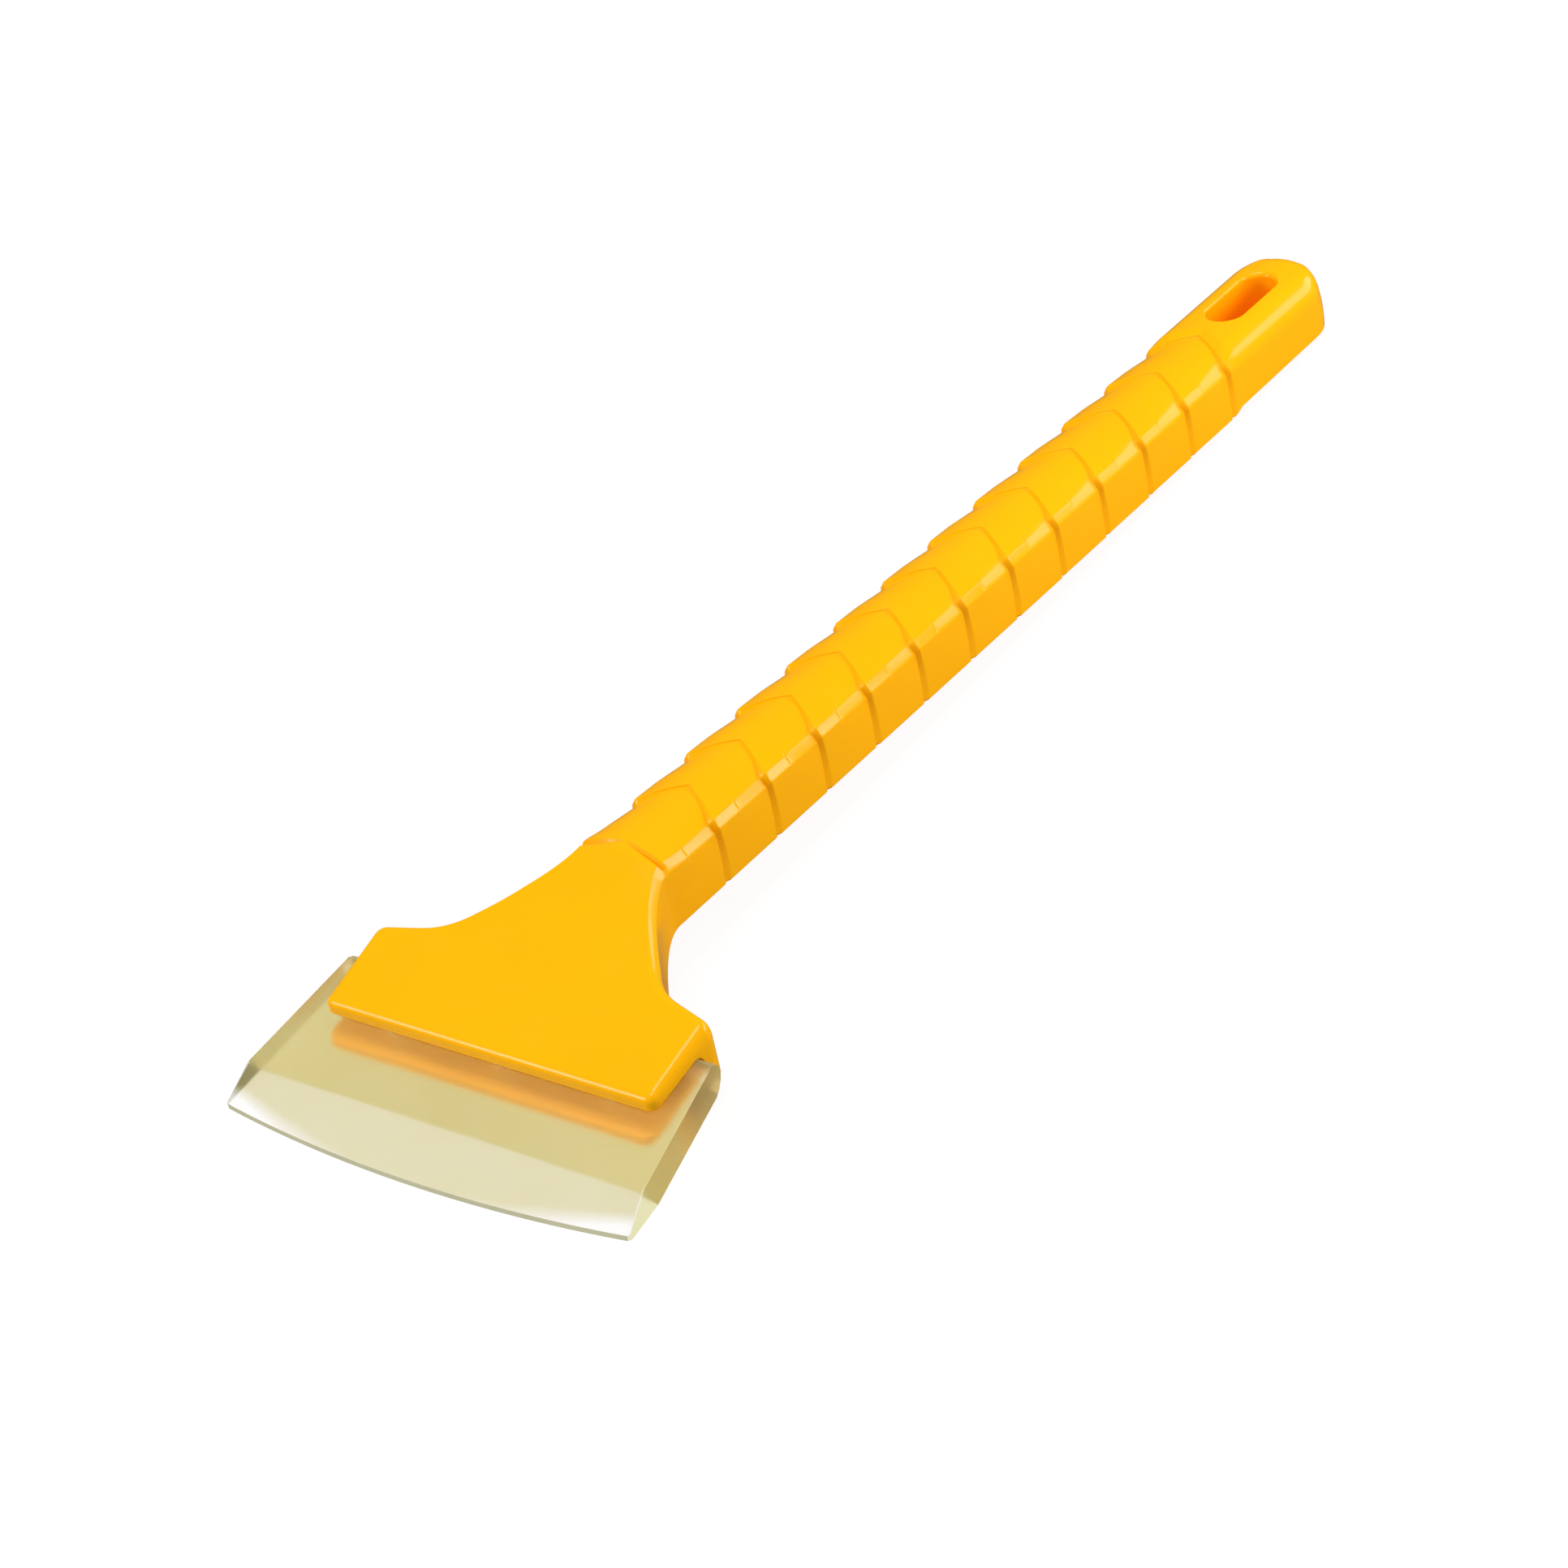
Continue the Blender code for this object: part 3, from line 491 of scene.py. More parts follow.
def grip_profile():
    """Right half of the grip's section, foot to middle: where each point is and how it is carved."""
    half = GRIP_WIDTH / 2
    edge = GRIP_TOP_WIDTH / 2
    foot = FOOT_CHAMFER - GRIP_DEPTH
    points = [profile_point(half - FOOT_CHAMFER - OVERRUN, -GRIP_DEPTH - OVERRUN, (0.0, 0.0), 0.0,
                            GROOVE_WIDTH_AT_FOOT)]
    for step in range(FLANK_STEPS):
        share = step / (FLANK_STEPS - 1)
        z = foot + share * (-CHAMFER_DROP - EDGE_RADIUS - foot)
        points.append(profile_point(
            half, z,
            dip=(DIP_ASIDE * share ** DIP_ASIDE_POWER,
                 DIP_DOWN * share ** DIP_DOWN_POWER),
            groove=GROOVE_AT_FOOT + (GROOVE_AT_FLANK - GROOVE_AT_FOOT) * share,
            rise=GROOVE_WIDTH_AT_FOOT + (GROOVE_WIDTH_AT_EDGE - GROOVE_WIDTH_AT_FOOT) * share,
            bulge=LINE_BULGE * math.sin(math.pi * share)))
    low = Vector((half, -CHAMFER_DROP))
    high = Vector((edge, 0.0))
    across = (high - low).normalized() * EDGE_RADIUS
    for step in range(CHAMFER_STEPS + 1):
        share = step / CHAMFER_STEPS
        place = (low + across).lerp(high - across, share)
        points.append(profile_point(
            place.x, place.y,
            dip=(DIP_ASIDE, DIP_DOWN),
            groove=GROOVE_AT_FLANK + (GROOVE_AT_EDGE - GROOVE_AT_FLANK) * share,
            rise=GROOVE_WIDTH_AT_EDGE + (RISE_AT_EDGE - GROOVE_WIDTH_AT_EDGE) * share ** 2,
            tick=TICK_DEPTH))
    for step in range(CROWN_STEPS + 1):
        share = (edge - EDGE_RADIUS) / edge * (1 - step / CROWN_STEPS)
        dipped = share ** CROWN_DIP_POWER
        points.append(profile_point(
            edge * share, GRIP_CROWN * (1 - share ** 2),
            dip=(DIP_ASIDE * dipped, DIP_AT_CROWN + (DIP_DOWN - DIP_AT_CROWN) * dipped),
            groove=0.0,
            rise=RISE_AT_CROWN + (RISE_AT_EDGE - RISE_AT_CROWN) * share ** CROWN_RISE_POWER,
            chevron=1 - share,
            tick=TICK_DEPTH * max(2 * share - 1, 0.0)))
    return points


def profile_point(x, z, dip, groove, rise, bulge=0.0, chevron=0.0, tick=0.0):
    return {"x": x, "z": z, "dip": Vector(dip), "groove": groove, "rise": rise, "bulge": bulge,
            "chevron": chevron, "tick": tick}


def end_profile():
    """The same points on the plain end, whose sides round over into its top."""
    half = GRIP_WIDTH / 2
    foot = END_FOOT_CHAMFER - GRIP_DEPTH
    rounding_top = END_CROWN - GRIP_CROWN * END_ARCH_SHARE
    side_top = rounding_top - END_SIDE_RADIUS
    points = [(half - END_FOOT_CHAMFER - OVERRUN, -GRIP_DEPTH - OVERRUN)]
    for step in range(FLANK_STEPS):
        points.append((half, foot + step / (FLANK_STEPS - 1) * (side_top - foot)))
    count = CHAMFER_STEPS + CROWN_STEPS + 2
    for step in range(1, count + 1):
        if step <= END_ROUNDING_STEPS:
            turn = math.pi / 2 * step / END_ROUNDING_STEPS
            x = half - END_SIDE_RADIUS * (1 - math.cos(turn))
            z = side_top + END_SIDE_RADIUS * math.sin(turn)
        else:
            share = 1 - (step - END_ROUNDING_STEPS) / (count - END_ROUNDING_STEPS)
            x = (half - END_SIDE_RADIUS) * share
            z = rounding_top + (END_CROWN - rounding_top) * (1 - share ** 2)
        points.append((x, z))
    return points


def carved(point, along):
    """Where a point lies along its segment, its share of the dip and its depth of cut, at a share along."""
    depth = 0.0
    if along <= CREASE_SHARE:
        share = along / CREASE_SHARE
        place = along * PITCH
        sunk = CREASE_SINK_SHARE * share
    elif along <= RISE_SHARE:
        share = (along - CREASE_SHARE) / (RISE_SHARE - CREASE_SHARE)
        crease = CREASE_SHARE * PITCH
        place = crease + (PITCH - point["rise"] - crease) * share
        sunk = CREASE_SINK_SHARE + (1 - CREASE_SINK_SHARE) * share
    else:
        share = (along - RISE_SHARE) / (1 - RISE_SHARE)
        place = PITCH - point["rise"] * (1 - share)
        sunk = 1 - smooth_step(share)
        if share < GROOVE_DROP_SHARE:
            depth = point["groove"] * smooth_step(share / GROOVE_DROP_SHARE)
        else:
            depth = point["groove"] * (1 - share) / (1 - GROOVE_DROP_SHARE)
    off_crease = abs(along - CREASE_SHARE) * PITCH / (TICK_WIDTH / 2)
    depth += point["tick"] * (1 - smooth_step(off_crease))
    near_line = max(1 - along / LINE_BULGE_SHARE, (along - RISE_SHARE) / (1 - RISE_SHARE), 0.0)
    place += point["bulge"] * near_line
    return place, sunk, depth


def segment_shares():
    """Shares of a segment at which it has a ring, closest together at its crease and at its step."""
    yield from CREASING_SHARES
    for share in TICK_SHARES:
        yield CREASE_SHARE + share * TICK_WIDTH / 2 / PITCH
    yield from SINKING_SHARES
    for step in range(1, RISING_STEPS):
        yield RISE_SHARE + (1 - RISE_SHARE) * step / RISING_STEPS


GRIP_PROFILE = grip_profile()
END_PROFILE = end_profile()


def grip_ring(start, along=0.0, lead=1.0, blend=0.0, lift=0.0, fall=0.0, width_share=1.0, lean=0.0,
              ceiling=1.0):
    """Section of the grip at a share of the segment that begins at start.

    lead is the share of the chevron, and blend goes over to the plain end. lift raises the top beside its
    crown, fall lowers the top, ceiling is the height that it keeps below, and lean slants the ring.
    """
    places = []
    for point, (end_x, end_z) in zip(GRIP_PROFILE, END_PROFILE):
        x = point["x"] + (end_x - point["x"]) * blend
        places.append(Vector((x, point["z"] + (end_z - point["z"]) * blend)))
    right = []
    for index, (point, place) in enumerate(zip(GRIP_PROFILE, places)):
        before = places[max(index - 1, 0)]
        after = places[index + 1] if index + 1 < len(places) else Vector((-before.x, before.y))
        outward = Vector((after.y - before.y, before.x - after.x)).normalized()
        y, sunk, depth = carved(point, along)
        moved = place - (point["dip"] * sunk + outward * depth) * (1 - blend)
        raised = min(max(moved.y + CHAMFER_DROP * 2, 0.0) / (CHAMFER_DROP * 2), 1.0)
        crowned = max(moved.y, 0.0) / GRIP_CROWN
        z = min(moved.y + lift * raised * max(1 - crowned, 0.0) - fall * raised, ceiling)
        below_chamfer = max(-CHAMFER_DROP - place.y, 0.0)
        z += (grip_foot(start) + GRIP_DEPTH) * below_chamfer / (GRIP_DEPTH - CHAMFER_DROP)
        y += start + CHEVRON_LEAD * lead * point["chevron"] - lean * (z - grip_foot(start))
        right.append((moved.x * width_share, y, z))
    left = [(-x, y, z) for x, y, z in reversed(right[:-1])]
    return right + left


def neck_rings():
    """Rings from inside the head to the first segment, which stands a little proud of the head."""
    bow = NECK_BOW / CHEVRON_LEAD
    for y in (-NECK_ROOT, NECK_LINE - NECK_RAMP):
        yield grip_ring(y, lead=bow * (y > 0), ceiling=head_top(y) - NECK_STEP - DIP_DOWN)
    level = head_top(NECK_LINE)
    proud = level + NECK_RIDGE
    yield grip_ring(NECK_LINE - NECK_RIDGE, lead=bow, lift=level, ceiling=GRIP_CROWN - NECK_RIDGE)
    for along in segment_shares():
        y = along * PITCH
        if y > NECK_LINE:
            lead = bow + (1 - bow) * smooth_step(along * NECK_LEAD_RATE)
            yield grip_ring(0.0, along, lead=lead, lift=proud * (1 - smooth_step(along / CREASE_SHARE)))


def end_rings():
    """Rings of the plain end from the last segment to the slot, and round the tip."""
    for step in range(END_STEPS + 1):
        share = (step / END_STEPS) ** END_STEP_POWER
        y = GRIP_LENGTH + (END_CENTRE_Y - GRIP_LENGTH) * share
        lead = 1 - smooth_step((y - GRIP_LENGTH) / (SLOT_FRONT_Y - GRIP_LENGTH))
        yield grip_ring(y, lead=lead, blend=smooth_step((y - GRIP_LENGTH) / END_BLEND))
    for step in range(1, END_STEPS + 1):
        angle = END_CAP_ANGLE * step / END_STEPS
        y = END_CENTRE_Y + GRIP_WIDTH / 2 * math.sin(angle)
        inside = min(TIP_Y - y, END_EDGE_RADIUS)
        fall = END_EDGE_RADIUS - math.sqrt(END_EDGE_RADIUS ** 2 - (END_EDGE_RADIUS - inside) ** 2)
        yield grip_ring(y, lead=0.0, blend=1.0, fall=fall, width_share=math.cos(angle),
                        lean=math.tan(END_DRAFT) * math.sin(angle))


def grip_rings():
    yield from neck_rings()
    for segment in range(1, SEGMENT_COUNT):
        for along in segment_shares():
            yield grip_ring(segment * PITCH, along)
    yield from end_rings()


# Head

def neck_half_width(y):
    reach = -y / NECK_LENGTH
    return (NECK_WIDTH + (NECK_FLARE_WIDTH - NECK_WIDTH) * reach ** NECK_FLARE_POWER) / 2


def head_corners():
    """Right half of the head's outline behind its lip, as (point, radius) corners from front to rear."""
    corners = [
        ((REAR_WIDTH / 2, -REAR_CORNER_DEPTH), REAR_CORNER_RADIUS),
        ((REAR_BEND_WIDTH / 2, -REAR_BEND_DEPTH), REAR_BEND_RADIUS),
        ((SHOULDER_WIDTH / 2, -SHOULDER_DEPTH), SHOULDER_RADIUS),
    ]
    for step in range(SHOULDER_STEPS, NECK_STEPS + 1):
        y = NECK_LENGTH * (step / NECK_STEPS - 1)
        corners.append(((neck_half_width(y), y), 0))
    return corners


def head_rounding(x, y):
    """Width, height and flatness of the rounded upper edge at a point of the head's outline."""
    front = smooth_step((-HEAD_LENGTH + LIP_CORNER_RADIUS - y) / LIP_CORNER_RADIUS)
    neck = smooth_step((y + NECK_LENGTH) / (NECK_LENGTH * NECK_ROUNDING_REACH))
    rear = smooth_step((y + HEAD_LENGTH * REAR_ROUNDING_FROM) / (HEAD_LENGTH * REAR_ROUNDING_REACH))
    aside = abs(x) - NECK_FLARE_WIDTH * REAR_ROUNDING_ASIDE
    rear *= smooth_step(aside / (NECK_FLARE_WIDTH * REAR_ROUNDING_SPREAD))
    even = HEAD_ROUNDING + (LIP_ROUNDING - HEAD_ROUNDING) * front
    width = even + (NECK_ROUNDING_WIDTH - HEAD_ROUNDING) * neck
    height = even + (NECK_ROUNDING_HEIGHT - HEAD_ROUNDING) * neck
    width += (REAR_INSET - HEAD_ROUNDING) * rear
    height += (REAR_FALL - HEAD_ROUNDING) * rear
    if y >= NECK_LINE:
        return 0.0, 0.0, 1.0
    return width, height, 1 + (NECK_ROUNDING_FLATNESS - 1) * neck


def neck_crown(y):
    """Height of the head's arched top over its flat plane, which grows towards the grip's arch."""
    full = GRIP_CROWN - head_top(max(y, NECK_LINE)) - NECK_RIDGE
    return full * smooth_step(1 + (y - NECK_LINE) / NECK_CROWN_LENGTH)


def head_height(x, y, half_width):
    """Height of the head's top, arched at the neck, where its outline is half_width wide to each side."""
    share = x / half_width if half_width else 0.0
    return head_top(y) + neck_crown(y) * (1 - share ** 2)


def add_head():
    """Block of the head with its rounded upper edge. The top's front edge gets a face of its own."""
    half = [((HEAD_WIDTH / 2, -HEAD_LENGTH), LIP_CORNER_RADIUS)] + head_corners()
    half.append(((NECK_WIDTH / 2 - NECK_TUCK, NECK_LINE), 0))
    half.append(((0, NECK_LINE + NECK_BOW), 0))
    outline = mirrored(half)
    inward = []
    for index, here in enumerate(outline):
        before = outline[index - 1]
        after = outline[(index + 1) % len(outline)]
        first = (here - before).normalized().orthogonal()
        second = (after - here).normalized().orthogonal()
        inward.append((first + second) / (1 + first.dot(second)))
    rings = [[(point.x, point.y, -HIDDEN_DEPTH) for point in outline]]
    for step in range(ARC_STEPS + 1):
        angle = math.pi / 2 * step / ARC_STEPS
        ring = []
        for here, aside in zip(outline, inward):
            width, height, flatness = head_rounding(here.x, here.y)
            moved = here + aside * width * (1 - max(math.cos(angle), 0.0) ** flatness)
            top = head_height(moved.x, moved.y, abs(here.x))
            ring.append((moved.x, moved.y, top - height * (1 - math.sin(angle) ** flatness)))
        rings.append(ring)
    shape = bmesh.new()
    rows = [[shape.verts.new(point) for point in ring] for ring in rings]
    for row, following in zip(rows, rows[1:]):
        for index in range(len(row)):
            after = (index + 1) % len(row)
            if after or following is not rows[-1]:
                shape.faces.new((row[index], row[after], following[after], following[index]))
    shape.faces.new(rows[0])
    front = add_head_top(shape, rows[-1], [abs(point.x) for point in outline])
    shape.faces.new(front + [rows[-2][-1], rows[-2][0]])
    bmesh.ops.remove_doubles(shape, verts=shape.verts, dist=MERGE_DISTANCE)
    bmesh.ops.recalc_face_normals(shape, faces=shape.faces)
    return add_shape("head_block", shape)


def add_head_top(shape, rim, half_widths):
    """Faces across the head's top between the sides of its rim; gives back the points along its front."""
    count = (len(rim) - 1) // 2
    rows = []
    for right, left, half_width in zip(rim[:count], reversed(rim[count + 1:]), half_widths):
        between = []
        for column in range(1, TOP_COLUMNS):
            x = right.co.x * (1 - 2 * column / TOP_COLUMNS)
            between.append(shape.verts.new((x, right.co.y, head_height(x, right.co.y, half_width))))
        rows.append([right] + between + [left])
    for row, following in zip(rows, rows[1:]):
        for column in range(TOP_COLUMNS):
            shape.faces.new((row[column], row[column + 1], following[column + 1], following[column]))
    for column in range(TOP_COLUMNS):
        shape.faces.new((rows[-1][column], rows[-1][column + 1], rim[count]))
    return rows[0]


# Spaces in the handle moulding

def underside():
    """Lower outline of the tool from past its end to past its lip, as (y, z) points."""
    points = [(TIP_Y + OVERRUN, grip_foot(TIP_Y + OVERRUN)), (TAPER_START, -GRIP_DEPTH)]
    for step in range(ARC_STEPS + 1):
        share = step / ARC_STEPS
        y = NECK_FALL_Y + NECK_FALL_REACH * (1 - 2 * share)
        points.append((y, -GRIP_DEPTH - UNDERSIDE_SLOPE * NECK_FALL_REACH * share ** 2))
    points.append((BLADE_REAR_Y, lower_jaw_bottom(BLADE_REAR_Y)))
    return points


def nose(gap):
    """Rear edge of the blade, or of the space that holds it, as (y, z) points from top to bottom."""
    points = []
    for back, down in NOSE_SHARES:
        y = BLADE_REAR_Y - BLADE_NOSE * back + gap
        points.append((y, blade_top(y) + gap + down * -(BLADE_DROP + 2 * gap)))
    return points


def add_undercut():
    rim_y = BLADE_REAR_Y + CLEARANCE
    outline = [point for point in underside() if point[0] > rim_y]
    share = (rim_y - outline[-1][0]) / (BLADE_REAR_Y - outline[-1][0])
    outline.append((rim_y, outline[-1][1] + share * (lower_jaw_bottom(BLADE_REAR_Y) - outline[-1][1])))
    outline.extend(reversed(nose(BLADE_GAP)[:UPPER_NOSE_COUNT]))
    front = -HEAD_LENGTH - OVERRUN
    outline.append((front, blade_top(front) + BLADE_GAP))
    outline.append((front, -HIDDEN_DEPTH - OVERRUN))
    outline.append((TIP_Y + OVERRUN, -HIDDEN_DEPTH - OVERRUN))
    return prism("undercut", outline, -BLADE_FRONT_WIDTH / 2, BLADE_FRONT_WIDTH / 2, sideways)


def inner_outline(inset, front):
    """Outline inside the head and the grip at an even distance from the outer walls."""
    side = [Vector((HEAD_WIDTH / 2, -HEAD_LENGTH))]
    side += [Vector(point) for point, _ in head_corners()]
    side.append(Vector((NECK_WIDTH / 2, GRIP_LENGTH)))
    half = [((HEAD_WIDTH / 2 - inset, front), 0)]
    for before, here, after in zip(side, side[1:], side[2:]):
        first = (here - before).normalized().orthogonal()
        second = (after - here).normalized().orthogonal()
        half.append((here + (first + second) * inset / (1 + first.dot(second)), 0))
    return half


def add_cover_seat():
    half = inner_outline(RIM_WALL, BLADE_REAR_Y - CLEARANCE)
    half.append(((NECK_WIDTH / 2 - RIM_WALL, COVER_END_Y), 0))
    seat = prism("cover_seat", mirrored(half), -HIDDEN_DEPTH, 0, standing)
    side = [(y, z + COVER_THICKNESS + CLEARANCE) for y, z in underside()]
    side += [(BLADE_REAR_Y - OVERRUN, side[-1][1]), (BLADE_REAR_Y - OVERRUN, -HIDDEN_DEPTH)]
    side.append((TIP_Y + OVERRUN, -HIDDEN_DEPTH))
    reach = HEAD_WIDTH / 2 + OVERRUN
    combine(seat, [prism("seat_side", side, -reach, reach, sideways)], "INTERSECT")
    return seat


def add_grip_cavity():
    half_width = NECK_WIDTH / 2 - SIDE_WALL
    half = [(half_width, -GRIP_DEPTH - OVERRUN), (half_width, -CEILING_DROP)]
    for step in range(1, ARC_STEPS + 1):
        share = 1 - step / ARC_STEPS
        half.append((half_width * share, CEILING_CROWN * (1 - share ** 2) - CEILING_DROP))
    outline = half + [(-x, z) for x, z in reversed(half[:-1])]
    return prism("grip_cavity", outline, NECK_LINE + NECK_BOW + NECK_RAMP, CAVITY_END_Y, lengthways)


def add_head_cavity():
    half = inner_outline(SIDE_WALL, BLADE_REAR_Y - CLEARANCE * 2)
    half.append(((NECK_WIDTH / 2 - SIDE_WALL, NECK_LINE + NECK_BOW + 2 * NECK_RAMP), 0))
    outline = mirrored(half)
    low = [(x, y, -HIDDEN_DEPTH) for x, y in outline]
    high = [(x, y, head_top(y) - HEAD_WALL) for x, y in outline]
    return loft("head_cavity", [low, high])


def slot_ring(spare, z):
    radius = SLOT_WIDTH / 2 + spare
    ring = []
    for centre, start in ((SLOT_REAR_Y - SLOT_WIDTH / 2, 0.0), (SLOT_FRONT_Y + SLOT_WIDTH / 2, math.pi)):
        for step in range(TURN_STEPS // 2 + 1):
            angle = start + math.pi * step / (TURN_STEPS // 2)
            ring.append((radius * math.cos(angle), centre + radius * math.sin(angle), z))
    return ring


def add_slot():
    """The hanging slot, flared towards the top by its rounded rim."""
    rings = [slot_ring(0, -GRIP_DEPTH - OVERRUN)]
    for step in range(ARC_STEPS + 1):
        angle = math.pi / 2 * step / ARC_STEPS
        depth = SLOT_RIM * (1 - math.sin(angle))
        rings.append(slot_ring(SLOT_RIM * (1 - math.cos(angle)), END_CROWN - depth))
    rings.append(slot_ring(SLOT_RIM, END_CROWN + OVERRUN))
    return loft("hanging_slot", rings)


def jaw_screw_frames():
    z = lower_jaw_bottom(JAW_SCREW_Y)
    turn = Matrix.Rotation(BLADE_TILT, 4, "X")
    places = {"left": -JAW_SCREW_X, "middle": 0, "right": JAW_SCREW_X}
    return {name: Matrix.Translation((x, JAW_SCREW_Y, z)) @ turn for name, x in places.items()}


def grip_screw_frames():
    places = {"front": GRIP_SCREW_INSET, "middle": GRIP_LENGTH / 2, "rear": GRIP_LENGTH - GRIP_SCREW_INSET}
    frames = {}
    for name, y in places.items():
        tilt = math.atan(TAPER_SLOPE) if y > TAPER_START else 0
        frames[name] = Matrix.Translation((0, y, grip_foot(y))) @ Matrix.Rotation(tilt, 4, "X")
    return frames


def screw_profile(length, spare, below):
    return [
        (0, length + spare),
        (SCREW_TIP_RADIUS + spare, length + spare),
        (SCREW_RADIUS + spare, length + spare - SCREW_TIP_LENGTH),
        (SCREW_RADIUS + spare, SCREW_HEAD_HEIGHT),
        (SCREW_HEAD_RADIUS + spare, SCREW_HEAD_EDGE),
        (SCREW_HEAD_RADIUS + spare, -below),
        (0, -below),
    ]


def add_bosses():
    bosses = []
    low = LOWER_JAW_THICKNESS + CLEARANCE
    high = LOWER_JAW_THICKNESS + BLADE_THICKNESS + 3 * CLEARANCE + BOSS_ROOT
    for place, where in jaw_screw_frames().items():
        bosses.append(cylinder("jaw_boss_" + place, BOSS_RADIUS, low, high, where))
    low = COVER_THICKNESS + CLEARANCE
    high = GRIP_DEPTH - CEILING_DROP + CEILING_CROWN + BOSS_ROOT
    for place, where in grip_screw_frames().items():
        bosses.append(cylinder("grip_boss_" + place, BOSS_RADIUS, low, high, where))
    return bosses


def add_screw_holes():
    holes = []
    screws = ((JAW_SCREW_LENGTH, jaw_screw_frames()), (GRIP_SCREW_LENGTH, grip_screw_frames()))
    for length, frames in screws:
        for place, where in frames.items():
            holes.append(turned("hole_" + place, screw_profile(length, CLEARANCE, OVERRUN), where))
    return holes


def add_handle(place):
    spaces = add_undercut()
    combine(spaces, [add_grip_cavity(), add_head_cavity(), add_cover_seat(), add_slot()], "UNION")
    combine(spaces, add_bosses(), "DIFFERENCE")
    combine(spaces, add_screw_holes(), "UNION")
    handle = loft("handle", grip_rings())
    combine(handle, [add_head()], "UNION")
    combine(handle, [spaces], "DIFFERENCE")
    finished(handle, place)
    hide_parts("handle_shell")
    return handle


# Blade

def blade_half_width(y):
    share = (BLADE_REAR_Y - y) / BLADE_LENGTH
    return (BLADE_REAR_WIDTH + (BLADE_FRONT_WIDTH - BLADE_REAR_WIDTH) * share) / 2


def blade_section(across, cut_back):
    """Side outline of the blade at a share of its half width, its front edge drawn back by cut_back."""
    bow = 1 - across ** 2
    front = BLADE_CORNER_Y - BLADE_BOW * bow + cut_back
    bevel = BLADE_CORNER_Y + BEVEL_LENGTH - BEVEL_BOW * bow
    side = nose(0)
    side.append((HEEL_Y, HEEL_Z))
    side.append((front, land(front)))
    side.append((front, land(front) + EDGE_THICKNESS))
    side.append((bevel, blade_top(bevel)))
    return [(across * blade_half_width(y), y, z) for y, z in side]


def add_blade(place):
    corner = BLADE_CORNER_RADIUS / (BLADE_FRONT_WIDTH / 2)
    right = []
    for step in range(ARC_STEPS + 1):
        angle = math.pi / 2 * step / ARC_STEPS
        right.append((1 - corner * (1 - math.sin(angle)), BLADE_CORNER_RADIUS * (1 - math.cos(angle))))
    inner = 1 - corner
    even = [(inner * (2 * step / BLADE_STATIONS - 1), 0.0) for step in range(1, BLADE_STATIONS)]
    left = [(-across, cut_back) for across, cut_back in reversed(right)]
    blade = loft("blade", [blade_section(*station) for station in left + even + right])
    edges = blade.modifiers.new("edges", "BEVEL")
    edges.width = BLADE_EDGE_RADIUS
    edges.segments = BLADE_EDGE_STEPS
    edges.limit_method = "ANGLE"
    edges.angle_limit = BLADE_EDGE_ANGLE
    apply_modifiers(blade)
    reach = LOWER_JAW_THICKNESS + BLADE_THICKNESS + OVERRUN
    holes = []
    for name, where in jaw_screw_frames().items():
        holes.append(cylinder("blade_hole_" + name, BOSS_RADIUS + BLADE_HOLE_SPARE, 0, reach, where))
    combine(blade, holes, "DIFFERENCE")
    finished(blade, place)
    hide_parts("scraper_blade")
    return blade


# Materials

def new_material(name):
    material = bpy.data.materials.new(name)
    material.use_nodes = True
    tree = material.node_tree
    return material, tree, tree.nodes["Principled BSDF"]


def noise(tree, scale, detail=2.0):
    """Noise in the object's own coordinates, with its scale in repeats per metre."""
    coordinates = tree.nodes.new("ShaderNodeTexCoord")
    texture = tree.nodes.new("ShaderNodeTexNoise")
    texture.inputs["Scale"].default_value = scale
    texture.inputs["Detail"].default_value = detail
    tree.links.new(coordinates.outputs["Object"], texture.inputs["Vector"])
    return texture.outputs["Fac"]


def ramp(tree, factor, colours, low=NOISE_LOW, high=NOISE_HIGH):
    """Colour that goes from the first to the second as the factor goes from low to high."""
    node = tree.nodes.new("ShaderNodeValToRGB")
    for element, place, colour in zip(node.color_ramp.elements, (low, high), colours):
        element.position = place
        element.color = (*colour, 1.0)
    tree.links.new(factor, node.inputs["Fac"])
    return node.outputs["Color"]


def spread(tree, factor, low, high):
    """Value that goes from low to high over the range of a noise texture."""
    node = tree.nodes.new("ShaderNodeMapRange")
    node.inputs["From Min"].default_value = NOISE_LOW
    node.inputs["From Max"].default_value = NOISE_HIGH
    node.inputs["To Min"].default_value = low
    node.inputs["To Max"].default_value = high
    tree.links.new(factor, node.inputs["Value"])
    return node.outputs["Result"]


def steady(tree, value):
    node = tree.nodes.new("ShaderNodeValue")
    node.outputs["Value"].default_value = value
    return node.outputs["Value"]


def light_path(tree, kind):
    return tree.nodes.new("ShaderNodeLightPath").outputs[kind]


def mixed(tree, share, first, second):
    """Goes from the first shader to the second by a share."""
    mix = tree.nodes.new("ShaderNodeMixShader")
    for source, target in zip((share, first, second), mix.inputs):
        tree.links.new(source, target)
    return mix.outputs["Shader"]


def bump(tree, height, distance, strength):
    node = tree.nodes.new("ShaderNodeBump")
    node.inputs["Distance"].default_value = distance
    node.inputs["Strength"].default_value = strength
    tree.links.new(height, node.inputs["Height"])
    return node.outputs["Normal"]


